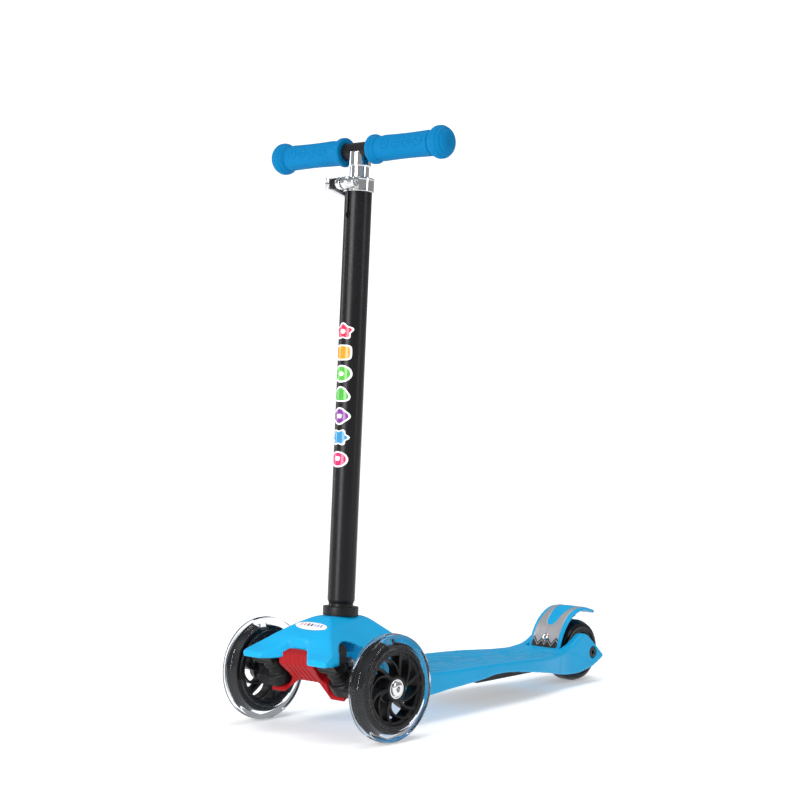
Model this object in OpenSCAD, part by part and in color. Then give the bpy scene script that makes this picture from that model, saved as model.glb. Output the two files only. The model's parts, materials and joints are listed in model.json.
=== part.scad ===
// Three-wheeled kick scooter for a small child. The rider leans the post to steer.
// X points to the rider's left, Y to the rear and Z up. The wheels stand on z = 0.

/* [Wheels] */
// Diameter of a front wheel
front_wheel_d = 120; // [100:1:144]
// Width of a front wheel
front_wheel_w = 24; // [20:1:29]
// Diameter of the rear wheel
rear_wheel_d = 80; // [66:1:96]
// Width of the rear wheel
rear_wheel_w = 36; // [30:1:44]
// Distance between the middle planes of the front wheels
track = 202; // [196:1:243]
// Distance from the front axles to the rear axle
wheelbase = 457; // [380:1:550]
// Diameter of the axle bolts
axle_d = 8; // [6:0.5:10]
// Outer diameter of the wheel bearings
bearing_d = 22; // [18:1:27]

/* [Deck] */
// Width of the footboard at its middle
deck_w = 122; // [102:1:147]
// Width across the wings of the nose
nose_w = 140; // [126:1:152]
// Wall of the deck moulding
deck_wall = 3.6; // [2.8:0.1:4.6]
// Height of the nose above the front axles
nose_rise = 70; // [66:1:84]

/* [Steering] */
// Forward lean of the kingpins, from upright
kingpin_lean = 35; // [29:1:42]
// Distance between the two kingpins
kingpin_gap = 100.6; // [94:0.2:104]
// Diameter of a kingpin
kingpin_d = 8; // [6.5:0.5:10]
// Distance from a kingpin to its tie pin
tie_arm = 20; // [18:0.5:24]

/* [Post] */
// Outer diameter of the black post
post_d = 31.4; // [28:0.2:38]
// Wall of the black post
post_wall = 2.2; // [1.6:0.1:3]
// Height of the black post above its collar
post_h = 484; // [400:1:582]
// Backward lean of the post
post_rake = 3.55; // [2:0.05:5]
// Diameter of the sliding chrome tube
slider_d = 22.2; // [18.4:0.2:25]
// Travel of the sliding tube
bar_travel = 200; // [160:5:240]
// Width across the two grips
bar_w = 276; // [230:1:332]
// Diameter of the crossbar inside the grips
crossbar_d = 20; // [16.6:0.2:24]
// Diameter of a grip's handle
grip_d = 29; // [27:0.5:35]
// Diameter of a grip's round end
grip_ball_d = 38; // [34:1:46]

/* [Brake] */
// Width of the brake fender
fender_w = 50; // [46:1:54]
// Thickness of the brake fender
fender_t = 4; // [3:0.1:5]

/* [Clearance] */
// Radial clearance of a running fit
run_gap = 0.05; // [0.02:0.01:0.1]
// Gap beside a turning face
face_gap = 0.5; // [0.3:0.1:0.8]

/* [Hidden] */
$fn = 64;

LEFT = 1;
RIGHT = -1;

blue = [0.10, 0.60, 0.88];
red = [0.78, 0.10, 0.12];
black = [0.06, 0.06, 0.07];
chrome = [0.85, 0.86, 0.88];
silver = [0.72, 0.71, 0.70];
clear = [0.80, 0.85, 0.90, 0.45];

// Heights of the axles, and the bearings on them
front_z = front_wheel_d / 2;
rear_z = rear_wheel_d / 2;
axle_r = axle_d / 2;
bearing_r = bearing_d / 2;
bearing_w = 7;
bearing_at = 3;
wheel_x = track / 2;
wheel_in = wheel_x - front_wheel_w / 2;
core_r = front_z - 16;
rear_core_r = rear_z - 12;
head_r = 8;
hub_face = wheel_in - 1.8;

// Ends of the whole scooter along Y, counted from the front axles
nose_y = -66.6;
fender_reach = 34;
tail_y = wheelbase + max(fender_reach, rear_z);
middle_y = (nose_y + tail_y) / 2;

// Kingpin frame: its origin is the top of the red flange on the kingpin's axis
king_x = kingpin_gap / 2;
king_y = -16.4;
king_z = front_z - 4.3;
king_r = kingpin_d / 2;
bush_t = 1.5;
flange_t = 4;
flange_r = 13.7;
barrel_r = 11.5;
skirt_r = 16;
skirt_h = 15;
barrel_top = 32;
block_h = 6;
tie_u = 18;
tie_t = 4;
tie_w = 12;
tie_pin_r = 2.5;
tie_ear = 8;
lug_w = 6;
lug_h = 8;
spring_l = 14;
spring_r = 3.6;
housing_top = front_z + 36.6;

// Post frame: its origin is the post's foot, on top of the collar
post_y = 26.14;
post_z = front_z + 85;
post_r = post_d / 2;
slider_r = slider_d / 2;
stub_r = post_r - 2.4;
stub_h = 55;
socket_t = 4;
collar_r = post_r + 4.7;
collar_h = 16.6;
neck_top = -3;
neck_low = -6.4;
neck_r = post_r - 1.5;
housing_back = post_y - stub_h * sin(post_rake) - stub_r - socket_t - 0.6;
clamp_h = 16;
clamp_t = 1.8;
ear_y = -post_r - 9;
ear_x = 8;
clamp_z = post_h - clamp_h / 2;
clamp_bolt_r = 3;
nut_x = post_r + 3.3;
lever_x = -nut_x - 5;
lever_pin_r = 2;
bar_z = post_h + 32.3;
post_bush_l = 70;
tube_foot_l = 26;
slider_h = bar_travel + bar_z - post_h + post_bush_l + tube_foot_l + 4;
slider_t = 1.6;
crossbar_r = crossbar_d / 2;
slot_w = 2.4;
slot_z = post_h - 43;
slot_r = 3.8;

// Rear end and brake
fender_r = fender_w / 2;
room_r = fender_r + 2;
fork_r = room_r + 11;
brake_y = wheelbase - 65;
brake_z = rear_z - 4;
pin_r = 2.5;
head_sink = 4;
rivet_tilt = 67;
inlay_t = 0.8;

// Under tray and the small screws
tray_z = rear_z - 10.5;
tray_wall = 3;
tray_r = 38;
tray_from = wheelbase * 0.455;
tray_to = wheelbase * 0.79;
screw_r = 1.6;
screw_seat_z = housing_top - 10;
tray_screws_at = [for (y = [tray_from + 24, tray_to - 24], x = [-18, 18]) [x, y]];
housing_screws_at = [[-10, -34], [10, -34], [-19, housing_back - 5], [19, housing_back - 5]];

// Badge on the nose
badge_l = 50;
badge_w = 15;
badge_t = 1.6;
badge_at = [0, -20.5, front_z + 60.4];
badge_tilt = 29;

// Footboard outline as [y, half width] from front to rear
board_r = deck_w / 2;
board_plan = [
    [8, board_r + 2], [40, board_r + 3], [110, board_r + 3.5], [160, board_r + 2.5],
    [wheelbase * 0.48, board_r], [wheelbase * 0.64, board_r - 2], [wheelbase * 0.71, board_r - 5],
    [wheelbase * 0.765, board_r - 10], [wheelbase - 82, fork_r + 7], [wheelbase - 62, fork_r + 1.5],
    [wheelbase - 45, fork_r], [wheelbase + 23, fork_r]
];

// Side outlines of the footboard and the fork as [y, z]
board_top = [
    [8, front_z + 2], [90, front_z + 1], [115, front_z - 2], [160, front_z - 3.6],
    [wheelbase * 0.48, rear_z + 14.6], [wheelbase * 0.64, rear_z + 11.5], [wheelbase * 0.765, rear_z + 7.4],
    [wheelbase - 75, rear_z + 7], [wheelbase - 55, rear_z + 9]
];
fork_top = [
    [wheelbase - 75, rear_z + 7], [wheelbase - 59, rear_z + 10], [wheelbase - 46, rear_z + 14],
    [wheelbase - 33, rear_z + 21], [wheelbase - 25, rear_z + 25.5], [wheelbase - 17, rear_z + 26],
    [wheelbase - 10, rear_z + 23], [wheelbase + 3, rear_z + 12], [wheelbase + 22.5, rear_z - 8]
];
fork_bottom = [
    [wheelbase + 6, rear_z - 16], [wheelbase - 7, rear_z - 19.4], [wheelbase - 29, rear_z - 23.2],
    [wheelbase - 55, rear_z - 22.4], [wheelbase - 81, rear_z - 18]
];
board_bottom = [
    [wheelbase - 103, rear_z - 13.7], [wheelbase * 0.71, rear_z - 8.6], [wheelbase * 0.62, rear_z - 2.4],
    [wheelbase * 0.56, rear_z + 0.7], [wheelbase * 0.51, rear_z + 1], [wheelbase * 0.47, rear_z - 1.3],
    [wheelbase * 0.4, front_z - 23.5], [111, front_z - 28], [60, front_z - 24], [40, front_z - 13],
    [8, front_z - 7]
];

// Nose outlines: from the side as [y, z], from the front as [x, z]
nose_r = nose_w / 2;
nose_top = [
    [-48, front_z + 41], [-36, front_z + 51], [-20, front_z + 61.5], [-2, front_z + nose_rise],
    [post_y + 22, front_z + nose_rise - 3], [64, front_z + 48], [76, front_z + 35], [100, front_z + 9],
    [112, front_z - 2]
];
nose_front = [
    [nose_r, front_z + 28.5], [nose_r - 8, front_z + 37.5], [nose_r - 20, front_z + 46],
    [38, front_z + 54.5], [30, front_z + 60], [26, front_z + 63], [16, front_z + nose_rise - 2],
    [8, front_z + nose_rise + 1]
];

// Fender's outer face from the side, counted from the rear axle, as y and the share of the wheel's radius
fender_line = [
    [-58, 0.075], [-56.5, 0.25], [-53.5, 0.4625], [-50, 0.6625], [-45, 0.8625], [-38.5, 1.05], [-30.5, 1.2125],
    [-21, 1.345], [-11, 1.42], [0, 1.435], [11, 1.3825], [22, 1.295], [fender_reach, 1.215]
];
fender_side = [for (q = fender_line) [q[0], q[1] * rear_z]];

function both_sides(p) = concat([for (q = p) [q[1], q[0]]], [for (i = [len(p) - 1:-1:0]) [-p[i][1], p[i][0]]]);
function mirror_x(p) = concat(p, [for (i = [len(p) - 1:-1:0]) [-p[i][0], p[i][1]]]);
function lowered(p, d) = [for (q = p) [q[0], q[1] - d]];
function drawn_in(p, t) = [for (q = p) q * (1 - t / norm(q))];
function turned_back(p) = [for (i = [len(p) - 1:-1:0]) p[i]];

// ---------- helpers ----------

// Moves the scooter so that the middle of its length is the origin
module placed() { translate([0, -middle_y, 0]) children(); }

// Extrudes an outline drawn in (y, z) along X, centred
module along_x(length) { rotate([90, 0, 90]) linear_extrude(length, center = true) children(); }

// Extrudes an outline drawn in (x, z) along Y, between two places
module along_y(from, to) { translate([0, to, 0]) rotate([90, 0, 0]) linear_extrude(to - from) children(); }

// Cylinder along X from a to b
module rod_x(a, b, r) { translate([a, 0, 0]) rotate([0, 90, 0]) cylinder(h = b - a, r = r); }

// Tube along X from a to b
module ring_x(a, b, r_out, r_in) {
    difference() {
        rod_x(a, b, r_out);
        rod_x(a - 1, b + 1, r_in);
    }
}

// Tube along Z from a to b
module ring_z(a, b, r_out, r_in) {
    difference() {
        translate([0, 0, a]) cylinder(h = b - a, r = r_out);
        translate([0, 0, a - 1]) cylinder(h = b - a + 2, r = r_in);
    }
}

// Solid of revolution about X, drawn as (radius, x)
module turned_x() { rotate([0, 90, 0]) rotate_extrude() children(); }

// Mirrors a part of the left side to the right side
module on_side(side) { mirror([side < 0 ? 1 : 0, 0, 0]) children(); }

// Draws a part in a kingpin's frame: Z along the kingpin, Y to the rear
module at_kingpin(side) {
    placed() on_side(side) translate([king_x, king_y, king_z]) rotate([kingpin_lean, 0, 0]) children();
}

// Draws a part in the frame half way between the kingpins
module at_kingpins() { placed() translate([0, king_y, king_z]) rotate([kingpin_lean, 0, 0]) children(); }

// Draws a part in the post's frame: Z along the post, origin at its foot
module at_post() { placed() translate([0, post_y, post_z]) rotate([-post_rake, 0, 0]) children(); }

// Draws a part at the front axle of one side, X outwards
module at_front_axle(side) { placed() on_side(side) translate([0, 0, front_z]) children(); }

// Draws a part at the rear axle
module at_rear_axle() { placed() translate([0, wheelbase, rear_z]) children(); }

// Draws a part at the brake's pivot
module at_brake() { placed() translate([0, brake_y, brake_z]) children(); }

// Screw driven upwards, its head's seat at z = 0
module screw_up(length) {
    cylinder(h = length, r = screw_r);
    difference() {
        translate([0, 0, -1.2]) cylinder(h = 1.2, r = 2 * screw_r);
        translate([0, 0, -2]) cylinder(h = 1.4, r = screw_r, $fn = 6);
    }
}

// Round wire of a coil as one closed skin, along Z from 0 to its length
module coil(r, wire_r, length, turns) {
    sides = 8;
    steps = 12;
    rings = turns * steps;
    skin = [for (i = [0:rings], j = [0:sides - 1])
        let (a = 360 * i / steps, b = 360 * j / sides, q = r + wire_r * cos(b),
             z = wire_r + (length - 2 * wire_r) * i / rings)
        [q * cos(a), q * sin(a), z + wire_r * sin(b)]];
    walls = [for (i = [0:rings - 1], j = [0:sides - 1])
        let (k = (j + 1) % sides)
        [i * sides + j, i * sides + k, (i + 1) * sides + k, (i + 1) * sides + j]];
    first = [[for (j = [sides - 1:-1:0]) j]];
    last = [[for (j = [0:sides - 1]) rings * sides + j]];
    polyhedron(points = skin, faces = concat(walls, first, last), convexity = 10);
}

// ---------- deck ----------

// Footboard, or the hollow inside it where wall is its thickness
module board_solid(wall) {
    open = wall > 0 ? 30 : 0;
    intersection() {
        translate([0, 0, -30]) linear_extrude(front_z + rear_z + 90)
            polygon(both_sides([for (q = board_plan) [q[0], q[1] - wall]]));
        along_x(2 * nose_w)
            polygon(concat(lowered(board_top, wall), lowered(concat(fork_bottom, board_bottom), open)));
    }
}

// Rear fork, still without the room for the wheel
module fork_solid() {
    intersection() {
        translate([0, 0, -10]) linear_extrude(front_z + rear_z + 60) polygon(both_sides(board_plan));
        along_x(3 * fork_r) polygon(concat(fork_top, fork_bottom));
    }
}

// Nose, or the hollow inside it where wall is its thickness
module nose_solid(wall) {
    low = wall > 0 ? -90 : 25.2;
    intersection() {
        along_x(2 * nose_w)
            polygon(concat([[nose_y + 1.4 * wall, front_z + low], [nose_y + 1.4 * wall, front_z + 25.4],
                            [nose_y + 12.6 + wall, front_z + 35 - 0.6 * wall]],
                           lowered(nose_top, wall), [[112, front_z - (wall > 0 ? 90 : 31)],
                            [60, front_z - (wall > 0 ? 90 : 31)], [40, front_z + min(low, -20)]]));
        along_y(-90, 140)
            polygon(concat([[nose_r - wall, -40]], [for (q = mirror_x(nose_front))
                [q[0] - sign(q[0]) * wall, q[1] - wall]], [[wall - nose_r, -40]]));
        translate([0, 0, -60]) linear_extrude(460) polygon(both_sides([
            [-90, nose_r - wall], [12, nose_r - wall], [40, board_r + 3 - wall], [140, board_r + 3 - wall]]));
    }
}

// Notch in the front of the nose between the wings
module nose_notch() {
    translate([0, 0, front_z - 60]) linear_extrude(160)
        polygon(mirror_x([[39.5, nose_y - 1], [14, nose_y + 24.8], [11, nose_y + 25.6]]));
}

// Arches in the side walls of the nose, through which the wheel arms pass
module nose_arches() {
    along_x(nose_w + 20)
        polygon([[-60, front_z + 24], [-47, front_z + 29], [-41.6, front_z + 37.7], [-35.7, front_z + 43.4],
                 [-26, front_z + 47.6], [-18, front_z + 48.4], [-7, front_z + 45], [6, front_z + 36],
                 [22, front_z + 20], [40, front_z - 12], [40, front_z - 60], [-60, front_z - 60]]);
}

// Ribs and screw bosses inside the footboard
module board_ribs() {
    intersection() {
        board_solid(0.01);
        union() {
            for (y = [130:45:wheelbase - 110]) translate([-nose_w, y, rear_z + 5]) cube([2 * nose_w, 2.5, 60]);
            for (x = [-30, 0, 30]) translate([x - 1.25, 118, rear_z + 5]) cube([2.5, wheelbase - 212, 60]);
            for (p = tray_screws_at) translate([p[0], p[1], tray_z + tray_wall]) cylinder(h = 60, r = 4.5);
        }
    }
}

// Socket of the post and the screw bosses inside the nose
module nose_socket() {
    intersection() {
        union() {
            translate([0, post_y, post_z]) rotate([-post_rake, 0, 0])
                translate([0, 0, -stub_h]) cylinder(h = stub_h, r = stub_r + socket_t);
            for (p = housing_screws_at) translate([p[0], p[1], housing_top]) cylinder(h = 60, r = 4.5);
        }
        nose_solid(0);
    }
}

module deck() {
    color(blue) placed() difference() {
        union() {
            difference() {
                union() {
                    board_solid(0);
                    difference() {
                        nose_solid(0);
                        nose_notch();
                    }
                }
                difference() {
                    union() {
                        board_solid(deck_wall);
                        nose_solid(deck_wall);
                    }
                    translate([-nose_w, wheelbase - 88, -30]) cube([2 * nose_w, 200, 200]);
                }
                nose_arches();
            }
            fork_solid();
            board_ribs();
            nose_socket();
        }
        // Room for the rear wheel and for the fender's hinge
        translate([-room_r, wheelbase - 60, -10]) cube([2 * room_r, 200, 200]);
        translate([-room_r, brake_y - 9, brake_z - 9]) cube([2 * room_r, 60, 200]);
        // Axle holes with their recesses
        translate([0, wheelbase, rear_z]) {
            rod_x(-2 * fork_r, 2 * fork_r, axle_r);
            rod_x(fork_r - head_sink, 2 * fork_r, head_r);
            rod_x(-2 * fork_r, head_sink - fork_r, head_r);
        }
        // Hole of the brake's pin
        translate([0, brake_y, brake_z]) rod_x(-room_r - 7, room_r + 7, pin_r);
        // Seat of the collar and bore of the post's stub
        translate([0, post_y, post_z]) rotate([-post_rake, 0, 0]) {
            translate([0, 0, -collar_h]) cylinder(h = 30, r = collar_r + 1);
            translate([0, 0, -stub_h - 20]) cylinder(h = stub_h + 40, r = stub_r);
        }
        translate(badge_at) rotate([badge_tilt, 0, 0]) oval(badge_l, badge_w, 20);
        for (p = tray_screws_at) translate([p[0], p[1], tray_z]) cylinder(h = 12, r = screw_r);
        for (p = housing_screws_at) translate([p[0], p[1], housing_top - 1]) cylinder(h = 9, r = screw_r);
    }
}

// Flat plate with round ends, along X, standing on z = 0
module oval(length, width, t) {
    for (s = [-1, 1]) translate([s * (length - width) / 2, 0, 0]) cylinder(h = t, d = width);
    translate([(width - length) / 2, -width / 2, 0]) cube([length - width, width, t]);
}

module under_tray() {
    color(black) placed() difference() {
        along_x(2 * tray_r)
            polygon([[tray_from, rear_z - 2], [tray_from + 14, tray_z], [tray_to - 10, tray_z],
                     [tray_to, rear_z - 7], [tray_to, rear_z], [tray_from, rear_z + 2]]);
        along_x(2 * (tray_r - tray_wall))
            polygon([[tray_from + tray_wall, rear_z - 1], [tray_from + 15, tray_z + tray_wall],
                     [tray_to - 11, tray_z + tray_wall], [tray_to - tray_wall, rear_z - 5],
                     [tray_to - tray_wall, rear_z + 10], [tray_from + tray_wall, rear_z + 10]]);
        for (p = tray_screws_at) translate([p[0], p[1], tray_z - 1]) {
            cylinder(h = 12, r = screw_r);
            cylinder(h = 2.2, r = 2 * screw_r);
        }
    }
}

module tray_screws() {
    color(silver) placed() for (p = tray_screws_at) translate([p[0], p[1], tray_z + 1.2]) screw_up(9);
}

// Oval badge let into the front slope of the nose
module nose_badge() {
    color("white") placed() translate(badge_at) rotate([badge_tilt, 0, 0]) oval(badge_l, badge_w, badge_t);
}

// ---------- steering ----------

// Side outline of the red housing between the kingpins, drawn as (y, z)
module housing_side() {
    polygon([[-28.8, front_z - 21], [-26, front_z - 1.3], [-46, front_z + 19], [-47.5, front_z + 32],
             [-41.5, housing_top], [housing_back, housing_top], [housing_back, front_z - 5], [20, front_z - 25]]);
}

// Front outline of the red housing in the kingpins' frame, drawn as (x, height over the flange)
module housing_front() {
    polygon(mirror_x([[15.4, 8], [king_x - 13.3, -flange_t], [king_x + 20, -flange_t], [king_x + 20, 0],
                      [king_x - skirt_r - 0.8, 0], [king_x - 21.5, 6], [king_x - 26, 13], [king_x - 26.2, 20],
                      [king_x - 23, 31], [king_x - 23, 47], [king_x - 30, 60], [king_x - 30, 90]]));
}

// Plan of the flanges and the block of the red housing
module housing_plan() {
    for (s = [-1, 1]) translate([s * king_x, 0]) circle(r = flange_r);
    polygon([[-king_x, flange_r - 1], [-king_x - 9, -20], [king_x + 9, -20], [king_x, flange_r - 1]]);
    translate([23 - king_x, 0]) square([2 * king_x - 46, 60]);
}

module steering_housing() {
    color(red) difference() {
        intersection() {
            at_kingpins() intersection() {
                translate([0, 60, 0]) rotate([90, 0, 0]) linear_extrude(90) housing_front();
                translate([0, 0, -50]) linear_extrude(150) housing_plan();
            }
            placed() along_x(2 * nose_w) housing_side();
        }
        // Flutes down the front
        placed() for (i = [-2:2]) translate([i * 7, 0, 0]) along_x(2.4)
            polygon([[-60, front_z + 34], [-46, front_z + 32], [-44.7, front_z + 19.6], [-24.5, front_z - 0.6],
                     [-24.5, front_z - 30], [-60, front_z - 30]]);
        at_kingpins() {
            // Kingpin holes
            for (s = [-1, 1]) translate([s * king_x, 0, -20]) cylinder(h = 40, r = king_r);
            // Channel of the tie plate, and the room of the springs over it
            translate([-king_x, tie_arm - tie_w / 2 - 1.6, tie_u - 1]) cube([2 * king_x, tie_w + 3.2, tie_t + 2]);
            translate([-lug_w / 2 - spring_l, tie_arm - tie_w / 2 - 1.6, tie_u])
                cube([lug_w + 2 * spring_l, tie_w + 3.2, tie_t + lug_h + 2]);
        }
        placed() for (p = housing_screws_at) translate([p[0], p[1], 0]) {
            cylinder(h = housing_top + 1, r = screw_r);
            cylinder(h = screw_seat_z, r = 2 * screw_r + 0.4);
        }
    }
}

module housing_screws() {
    color(silver) placed() for (p = housing_screws_at) translate([p[0], p[1], screw_seat_z]) screw_up(17);
}

// Black blocks under the wings that hold the tops of the kingpins
module kingpin_blocks() {
    low = barrel_top + face_gap;
    color(black) difference() {
        for (s = [LEFT, RIGHT]) intersection() {
            at_kingpin(s) translate([0, barrel_r, 0]) rotate([90, 0, 0]) linear_extrude(2 * barrel_r)
                polygon([[-11, low], [11, low], [15, low + 26], [-15, low + 26]]);
            placed() nose_solid(deck_wall);
        }
        for (s = [LEFT, RIGHT]) at_kingpin(s) {
            cylinder(h = 90, r = king_r);
            translate([0, 0, low + block_h]) cylinder(h = 60, r = 8);
        }
    }
}

module kingpin(side) {
    color(silver) at_kingpin(side) {
        translate([0, 0, -flange_t]) cylinder(h = flange_t + barrel_top + face_gap + block_h + 6, r = king_r);
        translate([0, 0, -flange_t - 5]) cylinder(h = 5, r = 7.5, $fn = 6);
    }
}

module kingpin_left() { kingpin(LEFT); }

module kingpin_right() { kingpin(RIGHT); }

module kingpin_nuts() {
    color(silver) for (s = [LEFT, RIGHT]) at_kingpin(s)
        translate([0, 0, barrel_top + face_gap + block_h]) difference() {
            cylinder(h = 5, r = 7.2, $fn = 6);
            translate([0, 0, -1]) cylinder(h = 9, r = king_r);
        }
}

// Axle holder: a barrel that swivels on its kingpin, with the wheel's arm and an arm for the tie plate
module knuckle(side) {
    arm_y = -king_y * cos(kingpin_lean) + (front_z - king_z) * sin(kingpin_lean);
    arm_z = king_y * sin(kingpin_lean) + (front_z - king_z) * cos(kingpin_lean);
    foot = face_gap;
    color(black) difference() {
        union() {
            at_kingpin(side) {
                translate([0, 0, foot]) cylinder(h = barrel_top - foot, r = barrel_r);
                translate([0, 0, foot]) cylinder(h = skirt_h - foot, r = skirt_r);
                // Web from the skirt out to the axle
                difference() {
                    rotate([90, 0, 90]) linear_extrude(wheel_in - king_x - 12)
                        polygon([[-9, foot], [-skirt_r + 0.4, foot], [-skirt_r + 0.4, skirt_h - 2], [2, skirt_h],
                                 [arm_y + 4, skirt_h - 2], [arm_y + 10, arm_z + 6], [arm_y + 10, arm_z - 4],
                                 [arm_y + 4, arm_z - 10], [arm_y - 6, arm_z - 10], [2, arm_z - 4]]);
                    translate([0, 0, foot - 60]) cylinder(h = 60, r = flange_r + 0.8);
                }
                // Arm under the tie plate
                translate([0, 0, tie_u - face_gap - tie_ear]) {
                    translate([-tie_ear, 0, 0]) cube([2 * tie_ear, tie_arm, tie_ear]);
                    translate([0, tie_arm, 0]) cylinder(h = tie_ear, r = tie_ear);
                }
            }
            at_front_axle(side) rod_x(king_x + 16, hub_face, 10.5);
        }
        at_kingpin(side) {
            translate([0, 0, -20]) cylinder(h = 90, r = king_r + bush_t);
            translate([0, 0, foot - 1]) cylinder(h = 2.4, r = king_r + bush_t + 2);
            translate([0, 0, barrel_top - 1.4]) cylinder(h = 5, r = king_r + bush_t + 2);
            translate([0, tie_arm, tie_u - face_gap - tie_ear]) cylinder(h = 60, r = tie_pin_r);
        }
        at_front_axle(side) {
            rod_x(king_x + 10, wheel_x, axle_r);
            rod_x(king_x - 30, king_x + 18, 8);
        }
    }
}

module knuckle_left() { knuckle(LEFT); }

module knuckle_right() { knuckle(RIGHT); }

// Plastic bush with a flange at each end, inside the barrel
module swivel_bush(side) {
    from = face_gap - 0.2;
    to = barrel_top + 0.2;
    color("ivory") at_kingpin(side) difference() {
        union() {
            translate([0, 0, from]) cylinder(h = to - from, r = king_r + bush_t);
            translate([0, 0, from]) cylinder(h = 1.6, r = king_r + bush_t + 2);
            translate([0, 0, to - 1.6]) cylinder(h = 1.6, r = king_r + bush_t + 2);
        }
        translate([0, 0, -1]) cylinder(h = barrel_top + 3, r = king_r + run_gap);
    }
}

module swivel_bush_left() { swivel_bush(LEFT); }

module swivel_bush_right() { swivel_bush(RIGHT); }

// Steel plate that ties the two knuckles, with a lug between the centring springs
module tie_plate() {
    color(silver) at_kingpins() difference() {
        translate([0, tie_arm, tie_u]) {
            oval(kingpin_gap + tie_w, tie_w, tie_t);
            translate([-lug_w / 2, -4, 0]) cube([lug_w, 8, tie_t + lug_h]);
        }
        translate([king_x, tie_arm, tie_u - 1]) cylinder(h = tie_t + 2, r = tie_pin_r + run_gap);
        translate([-king_x, tie_arm, tie_u - 1]) cylinder(h = tie_t + 2, r = tie_pin_r + 0.3);
    }
}

module tie_pin(side) {
    color(silver) at_kingpin(side) translate([0, tie_arm, 0]) {
        translate([0, 0, tie_u - face_gap - tie_ear]) cylinder(h = tie_ear + tie_t + 2 * face_gap, r = tie_pin_r);
        translate([0, 0, tie_u + tie_t + face_gap]) cylinder(h = 2.2, r = 5);
    }
}

module tie_pin_left() { tie_pin(LEFT); }

module tie_pin_right() { tie_pin(RIGHT); }

module centring_spring(side) {
    color(silver) at_kingpins() on_side(side)
        translate([lug_w / 2 + 0.1, tie_arm, tie_u + tie_t + lug_h / 2 + 0.2]) rotate([0, 90, 0])
            coil(spring_r, 0.5, spring_l - 0.2, 5);
}

module centring_spring_left() { centring_spring(LEFT); }

module centring_spring_right() { centring_spring(RIGHT); }

// ---------- front wheels ----------

// Half section of a tyre with round shoulders, drawn as (radius, x)
module tyre_section(r_in, r_out, w, round) {
    for (s = [-1, 1]) translate([r_out - round, s * (w / 2 - round)]) intersection() {
        circle(r = round);
        translate([0, -round]) square([round, 2 * round]);
    }
    translate([r_in, -w / 2]) square([r_out - round - r_in, w]);
    translate([r_in, round - w / 2]) square([r_out - r_in, w - 2 * round]);
}

module front_tyre(side) {
    color(clear) at_front_axle(side) translate([wheel_x, 0, 0]) turned_x()
        tyre_section(core_r, front_z, front_wheel_w, 8);
}

module front_tyre_left() { front_tyre(LEFT); }

module front_tyre_right() { front_tyre(RIGHT); }

// Black core: rim, hub with bearing seats and swirled spokes
module front_core(side) {
    half = front_wheel_w / 2 - 1;
    spokes = 10;
    reach = core_r - 4;
    color(black) at_front_axle(side) translate([wheel_x, 0, 0]) difference() {
        union() {
            ring_x(-half, half, core_r, core_r - 5);
            rod_x(-half, half - 1, bearing_r + 3);
            rotate([0, 90, 0]) translate([0, 0, -half + 2]) linear_extrude(2 * half - 4) for (i = [0:spokes - 1])
                rotate([0, 0, 360 * i / spokes]) intersection() {
                    difference() {
                        circle(r = reach);
                        circle(r = bearing_r + 1);
                    }
                    translate([0, reach / 2 + 4]) difference() {
                        circle(r = reach / 2);
                        circle(r = reach / 2 - 2.4);
                        translate([-core_r, -core_r]) square([core_r, 2 * core_r]);
                    }
                }
        }
        rod_x(-20, 20, bearing_r - 3);
        rod_x(bearing_at, 20, bearing_r);
        rod_x(-20, -bearing_at, bearing_r);
    }
}

module front_core_left() { front_core(LEFT); }

module front_core_right() { front_core(RIGHT); }

// Two ball bearings, each drawn as one ring
module front_bearings(side) {
    color(chrome) at_front_axle(side) for (x = [wheel_x - bearing_at - bearing_w, wheel_x + bearing_at])
        ring_x(x, x + bearing_w, bearing_r, axle_r + run_gap);
}

module front_bearings_left() { front_bearings(LEFT); }

module front_bearings_right() { front_bearings(RIGHT); }

// Sleeve between the two bearings
module front_sleeve(side) {
    color(silver) at_front_axle(side)
        ring_x(wheel_x - bearing_at, wheel_x + bearing_at, axle_r + 2, axle_r + run_gap);
}

module front_sleeve_left() { front_sleeve(LEFT); }

module front_sleeve_right() { front_sleeve(RIGHT); }

// Axle bolt with a round socket head on the wheel's outer side
module front_axle(side) {
    head_x = wheel_x + bearing_at + bearing_w + 0.2;
    color(chrome) at_front_axle(side) difference() {
        union() {
            rod_x(king_x + 11, head_x, axle_r);
            rod_x(head_x, head_x + 2.3, head_r);
        }
        translate([head_x - 1.5, 0, 0]) rotate([0, 90, 0]) cylinder(h = 9, r = 3, $fn = 6);
    }
}

module front_axle_left() { front_axle(LEFT); }

module front_axle_right() { front_axle(RIGHT); }

module axle_nut(side) {
    color(silver) at_front_axle(side) translate([king_x + 12.4, 0, 0]) rotate([0, 90, 0]) difference() {
        cylinder(h = 5.6, r = 7.2, $fn = 6);
        translate([0, 0, -1]) cylinder(h = 9, r = axle_r);
    }
}

module axle_nut_left() { axle_nut(LEFT); }

module axle_nut_right() { axle_nut(RIGHT); }

// Washer between the knuckle and the inner bearing
module axle_washer(side) {
    color(silver) at_front_axle(side)
        ring_x(hub_face, wheel_x - bearing_at - bearing_w - 0.2, axle_r + 2.4, axle_r);
}

module axle_washer_left() { axle_washer(LEFT); }

module axle_washer_right() { axle_washer(RIGHT); }

// ---------- handlebar post ----------

module stem_collar() {
    color(black) at_post() {
        ring_z(-collar_h, neck_low, collar_r, stub_r);
        ring_z(neck_low, neck_top, neck_r, stub_r);
    }
}

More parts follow.
